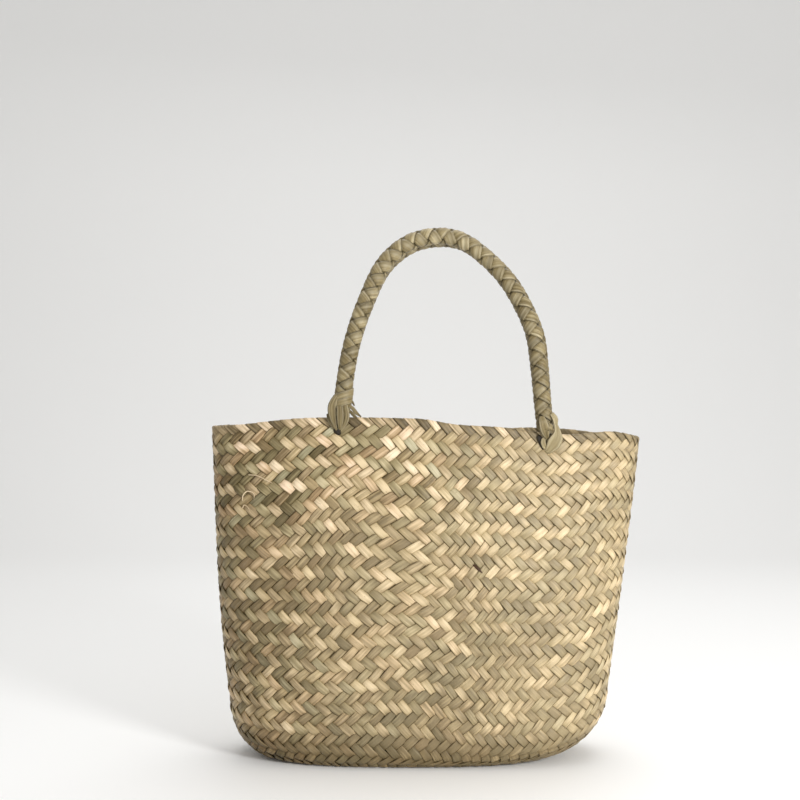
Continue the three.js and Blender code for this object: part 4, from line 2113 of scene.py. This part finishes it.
@dataclass
class HandleTie:
    """A handle's end, where its strands flatten, come over the rim and go in through a hole in the wall."""

    handle: BraidedHandle
    end: End
    thickness: float = 0.75 * MM
    half_width: float = 4 * MM
    dimming: float = 0.12
    # Painted shade of the strand that lies in the hole's shadow
    hole_shade: float = 1.7
    inside_from: float = -3 * MM
    sinking: tuple = (0.5 * MM, -1.0 * MM)
    first_grain: float = 500.0
    side_grain: float = 20.0
    left_grain: float = 7.0
    steps: int = 26
    profile: StrandProfile = StrandProfile()

    def build(self) -> bpy.types.Object:
        """Make the tie's strands.

        Returns:
            The piece.
        """
        form, side = self.handle.form, self.handle.side
        left = self.end is End.LEFT
        seat, outward = form.rim_seat(self.handle.left_x + (0.0 if left else self.handle.span), side)
        face = seat + outward * form.wall / 2
        along = np.cross(UP, outward) * -side.value
        batch = RibbonBatch(self.profile)
        first_grain = self.first_grain + self.side_grain * side.value + (self.left_grain if left else 0)
        for number, leaf in enumerate((*(LEFT_TIE if left else RIGHT_TIE), *INNER_TIE)):
            line = even_spline(np.array([(row.across, row.up, row.out) for row in leaf.rows]) * MM, self.steps)
            place, rows = np.linspace(0, 1, self.steps), np.linspace(0, 1, len(leaf.rows))
            widths = np.interp(place, rows, [row.width * MM for row in leaf.rows])
            points = face + line @ np.array([along, UP, outward])
            inside = line[:, 2].mean() < self.inside_from
            facing = unit(outward * (-1 if inside else 1) + along * leaf.turned)
            rings = leaf_rings(points, widths, facing, self.thickness, self.profile)
            # Painted shade as a strand goes in at the wall
            depth = 0.0 if inside else smooth(*self.sinking, line[:, 2:])
            # The strand in the hole is painted dark as the hole's shadow
            depth = self.hole_shade if leaf.shadow_in_hole else depth
            batch.add(rings, Marks(self.half_width, first_grain + number, depth, 0.0, leaf.tone - self.dimming))
        if left:
            self._add_wrap(batch, Wrap())
        name = f"{side.name.lower()}_{self.end.value}"
        piece = batch.build(f"tie_{name}", HANDLE.build())
        dress(piece, "handle_straw", f"{name}_loop")
        return piece

    def _add_wrap(self, batch: RibbonBatch, wrap: Wrap) -> None:
        """Wind a strand round the handle just above the tie.

        Args:
            batch: The mesh to add it to.
            wrap: Its sizes.
        """
        handle = self.handle
        share = np.linspace(0, 1, wrap.steps)
        lengths = np.linspace(0, handle.length, len(handle.line))
        angle = (share * wrap.turns + wrap.first_turn) * 2 * math.pi
        along = (blend(wrap.start, wrap.end, share) - wrap.slant * np.sin(angle)) * MM
        middle = np.stack([np.interp(along, lengths, handle.line[:, axis]) for axis in range(3)], -1)
        forward = unit(handle.line[wrap.aim_to] - handle.line[wrap.aim_from])
        first = unit(np.array([0.0, 1.0, 0.0]) - forward[1] * forward)
        second = np.cross(forward, first)
        spoke = np.cos(angle)[:, None] * first + np.sin(angle)[:, None] * second
        sink = smooth(wrap.sink_share, 0.0, share) + smooth(1 - wrap.sink_share, 1.0, share)
        line = middle + spoke * (wrap.radius - wrap.sink * sink[:, None]) * MM
        rings = leaf_rings(line, np.full(wrap.steps, wrap.width * MM), spoke, self.thickness, self.profile)
        batch.add(rings, Marks(wrap.half_width * MM, wrap.grain + handle.side.value, 0.0, 0.0, wrap.tone))


@dataclass(frozen=True)
class FibreRow:
    """A place on a loose fibre, in millimetres: across the bag, up and out from the front wall."""

    x: float
    z: float
    out: float


LOOSE_FIBRES = (
    (
        FibreRow(-137.9, 223.0, 0.2),
        FibreRow(-130.6, 222.6, 1.6),
        FibreRow(-124.6, 220.2, 2.0),
        FibreRow(-118.6, 216.8, 0.4),
    ),
    (
        FibreRow(-142.5, 202.7, 0.2),
        FibreRow(-141.3, 207.4, 1.4),
        FibreRow(-137.5, 210.5, 2.2),
        FibreRow(-132.6, 208.6, 1.8),
        FibreRow(-133.3, 204.2, 0.2),
    ),
    (
        FibreRow(-142.5, 196.9, 0.2),
        FibreRow(-140.2, 199.8, 1.6),
        FibreRow(-137.6, 198.2, 1.4),
        FibreRow(-135.9, 194.2, 0.2),
    ),
)

DARK_SLIVER = ((FibreRow(35.4, 155.9, 0.2), FibreRow(38.8, 152.9, 1.1), FibreRow(42.2, 149.6, 0.5)),)


@dataclass
class LooseFibres:
    """Thin slivers of straw on the front wall, such as the fibres that have lifted off near its left end."""

    form: BasketForm
    name: str
    fibres: tuple
    finish: StrawFinish
    width: float
    thickness: float = 0.4 * MM
    half_width: float = 1 * MM
    taper: float = 0.75
    taper_power: int = 3
    droop: float = 0.5
    tone: float = 0.75
    first_grain: float = 700.0
    steps: int = 20
    profile: StrandProfile = StrandProfile()

    def build(self) -> bpy.types.Object:
        """Make the fibres.

        Returns:
            The piece.
        """
        batch = RibbonBatch(self.profile)
        for number, rows in enumerate(self.fibres):
            points = []
            for row in rows:
                spot, outward = self.form.on_wall(row.x * MM, row.z * MM, Side.FRONT)
                points.append(spot + outward * row.out * MM)
            line = even_spline(np.array(points), self.steps)
            widths = self.width * (1 - self.taper * np.linspace(0, 1, self.steps) ** self.taper_power)
            rings = leaf_rings(line, widths, outward - UP * self.droop, self.thickness, self.profile)
            batch.add(rings, Marks(self.half_width, self.first_grain + number, 0.0, 0.0, self.tone))
        piece = batch.build(self.name, self.finish.build())
        dress(piece, "basket_straw")
        return piece


# The studio


@dataclass(frozen=True)
class Lamp:
    """A soft square light that faces the bag: its place and size in metres, and its power in watts."""

    name: str
    x: float
    y: float
    z: float
    size: float
    power: float


LAMPS = (
    Lamp("key", 0.78, -1.0, 0.5, 0.3, 12.8),
    Lamp("fill", -0.9, -1.3, 1.0, 1.2, 1.5),
    Lamp("top", 0.1, 0.5, 1.6, 1.4, 12.0),
)


@dataclass
class Studio:
    """A pale floor, soft lights and the camera at the photograph's place."""

    camera_distance: float = 1.0
    camera_height: float = 0.281
    camera_x: float = -0.0204
    lens: float = 56.25
    sensor: float = 36.0
    aim_height: float = 0.17
    sky_colour: tuple = (1.0, 0.99, 0.97, 1.0)
    sky_strength: float = 0.55
    floor_colour: tuple = (0.93, 0.93, 0.925, 1.0)
    floor_roughness: float = 0.7
    floor_front: float = -3.0
    floor_half: float = 4.0
    bend_start: float = 1.2
    bend_radius: float = 0.8
    bend_steps: int = 16
    bend_first: float = 0.1
    wall_height: float = 4.0

    def build(self) -> None:
        """Make the camera, the floor, the lights and the sky."""
        scene = bpy.context.scene
        camera = bpy.data.objects.new("camera", bpy.data.cameras.new("camera"))
        camera.data.lens = self.lens
        camera.data.sensor_width = self.sensor
        camera.location = (self.camera_x, -self.camera_distance, self.camera_height)
        camera.rotation_euler = (math.pi / 2, 0, 0)
        scene.collection.objects.link(camera)
        scene.camera = camera
        self._floor()
        for lamp in LAMPS:
            self._light(lamp)
        world = bpy.data.worlds.new("sky")
        world.use_nodes = True
        background = world.node_tree.nodes["Background"]
        background.inputs["Color"].default_value = self.sky_colour
        background.inputs["Strength"].default_value = self.sky_strength
        scene.world = world
        scene.view_settings.view_transform = "Standard"

    def _light(self, lamp: Lamp) -> None:
        """Add a soft light.

        Args:
            lamp: Its row of the table.
        """
        data = bpy.data.lights.new(lamp.name, "AREA")
        data.size = lamp.size
        data.energy = lamp.power
        light = bpy.data.objects.new(lamp.name, data)
        light.location = (lamp.x, lamp.y, lamp.z)
        aim = Vector((0, 0, self.aim_height)) - light.location
        light.rotation_euler = aim.to_track_quat("-Z", "Y").to_euler()
        bpy.context.scene.collection.objects.link(light)

    def _floor(self) -> None:
        """Add the floor, with a wall behind that it curves up into."""
        shader = Shader("pale_floor")
        material = shader.finish({"Base Color": self.floor_colour, "Roughness": self.floor_roughness})
        start, radius = self.bend_start, self.bend_radius
        angles = np.linspace(self.bend_first, math.pi / 2, self.bend_steps)
        bend = [(self.floor_front, 0.0), (start, 0.0)]
        bend += [(start + radius * math.sin(a), radius - radius * math.cos(a)) for a in angles]
        bend += [(start + radius, self.wall_height)]
        corners = [(x, y, z) for x in (-self.floor_half, self.floor_half) for y, z in bend]
        count = len(bend)
        faces = [(i, i + 1, count + i + 1, count + i) for i in range(count - 1)]
        mesh = bpy.data.meshes.new("floor")
        mesh.from_pydata(corners, [], faces)
        mesh.polygons.foreach_set("use_smooth", [True] * len(faces))
        mesh.materials.append(material)
        floor = bpy.data.objects.new("floor", mesh)
        bpy.context.scene.collection.objects.link(floor)


@dataclass(frozen=True)
class HandlePlace:
    """Where a handle stands on its wall."""

    side: Side
    left_x: float
    span: float


HANDLES = (HandlePlace(Side.FRONT, -66 * MM, 158 * MM), HandlePlace(Side.BACK, -69.5 * MM, 170.5 * MM))
FIBRE_WIDTH = 1.0 * MM
SLIVER_WIDTH = 2.1 * MM


def main() -> None:
    """Build the bag and the studio round the frame."""
    logging.basicConfig(level=logging.INFO, format="%(name)s: %(message)s")
    Studio().build()
    form = BasketForm()
    lattice = Lattice(form)
    PlaitedShell(lattice).build()
    RimFold(lattice).build()
    for row in HANDLES:
        handle = BraidedHandle(form, row.side, row.left_x, row.span)
        handle.build()
        for end in End:
            HandleTie(handle, end).build()
    LooseFibres(form, "loose_fibres", LOOSE_FIBRES, CREAM, FIBRE_WIDTH).build()
    LooseFibres(form, "dark_sliver", DARK_SLIVER, SLIVER, SLIVER_WIDTH).build()


if __name__ == "__main__":
    main()
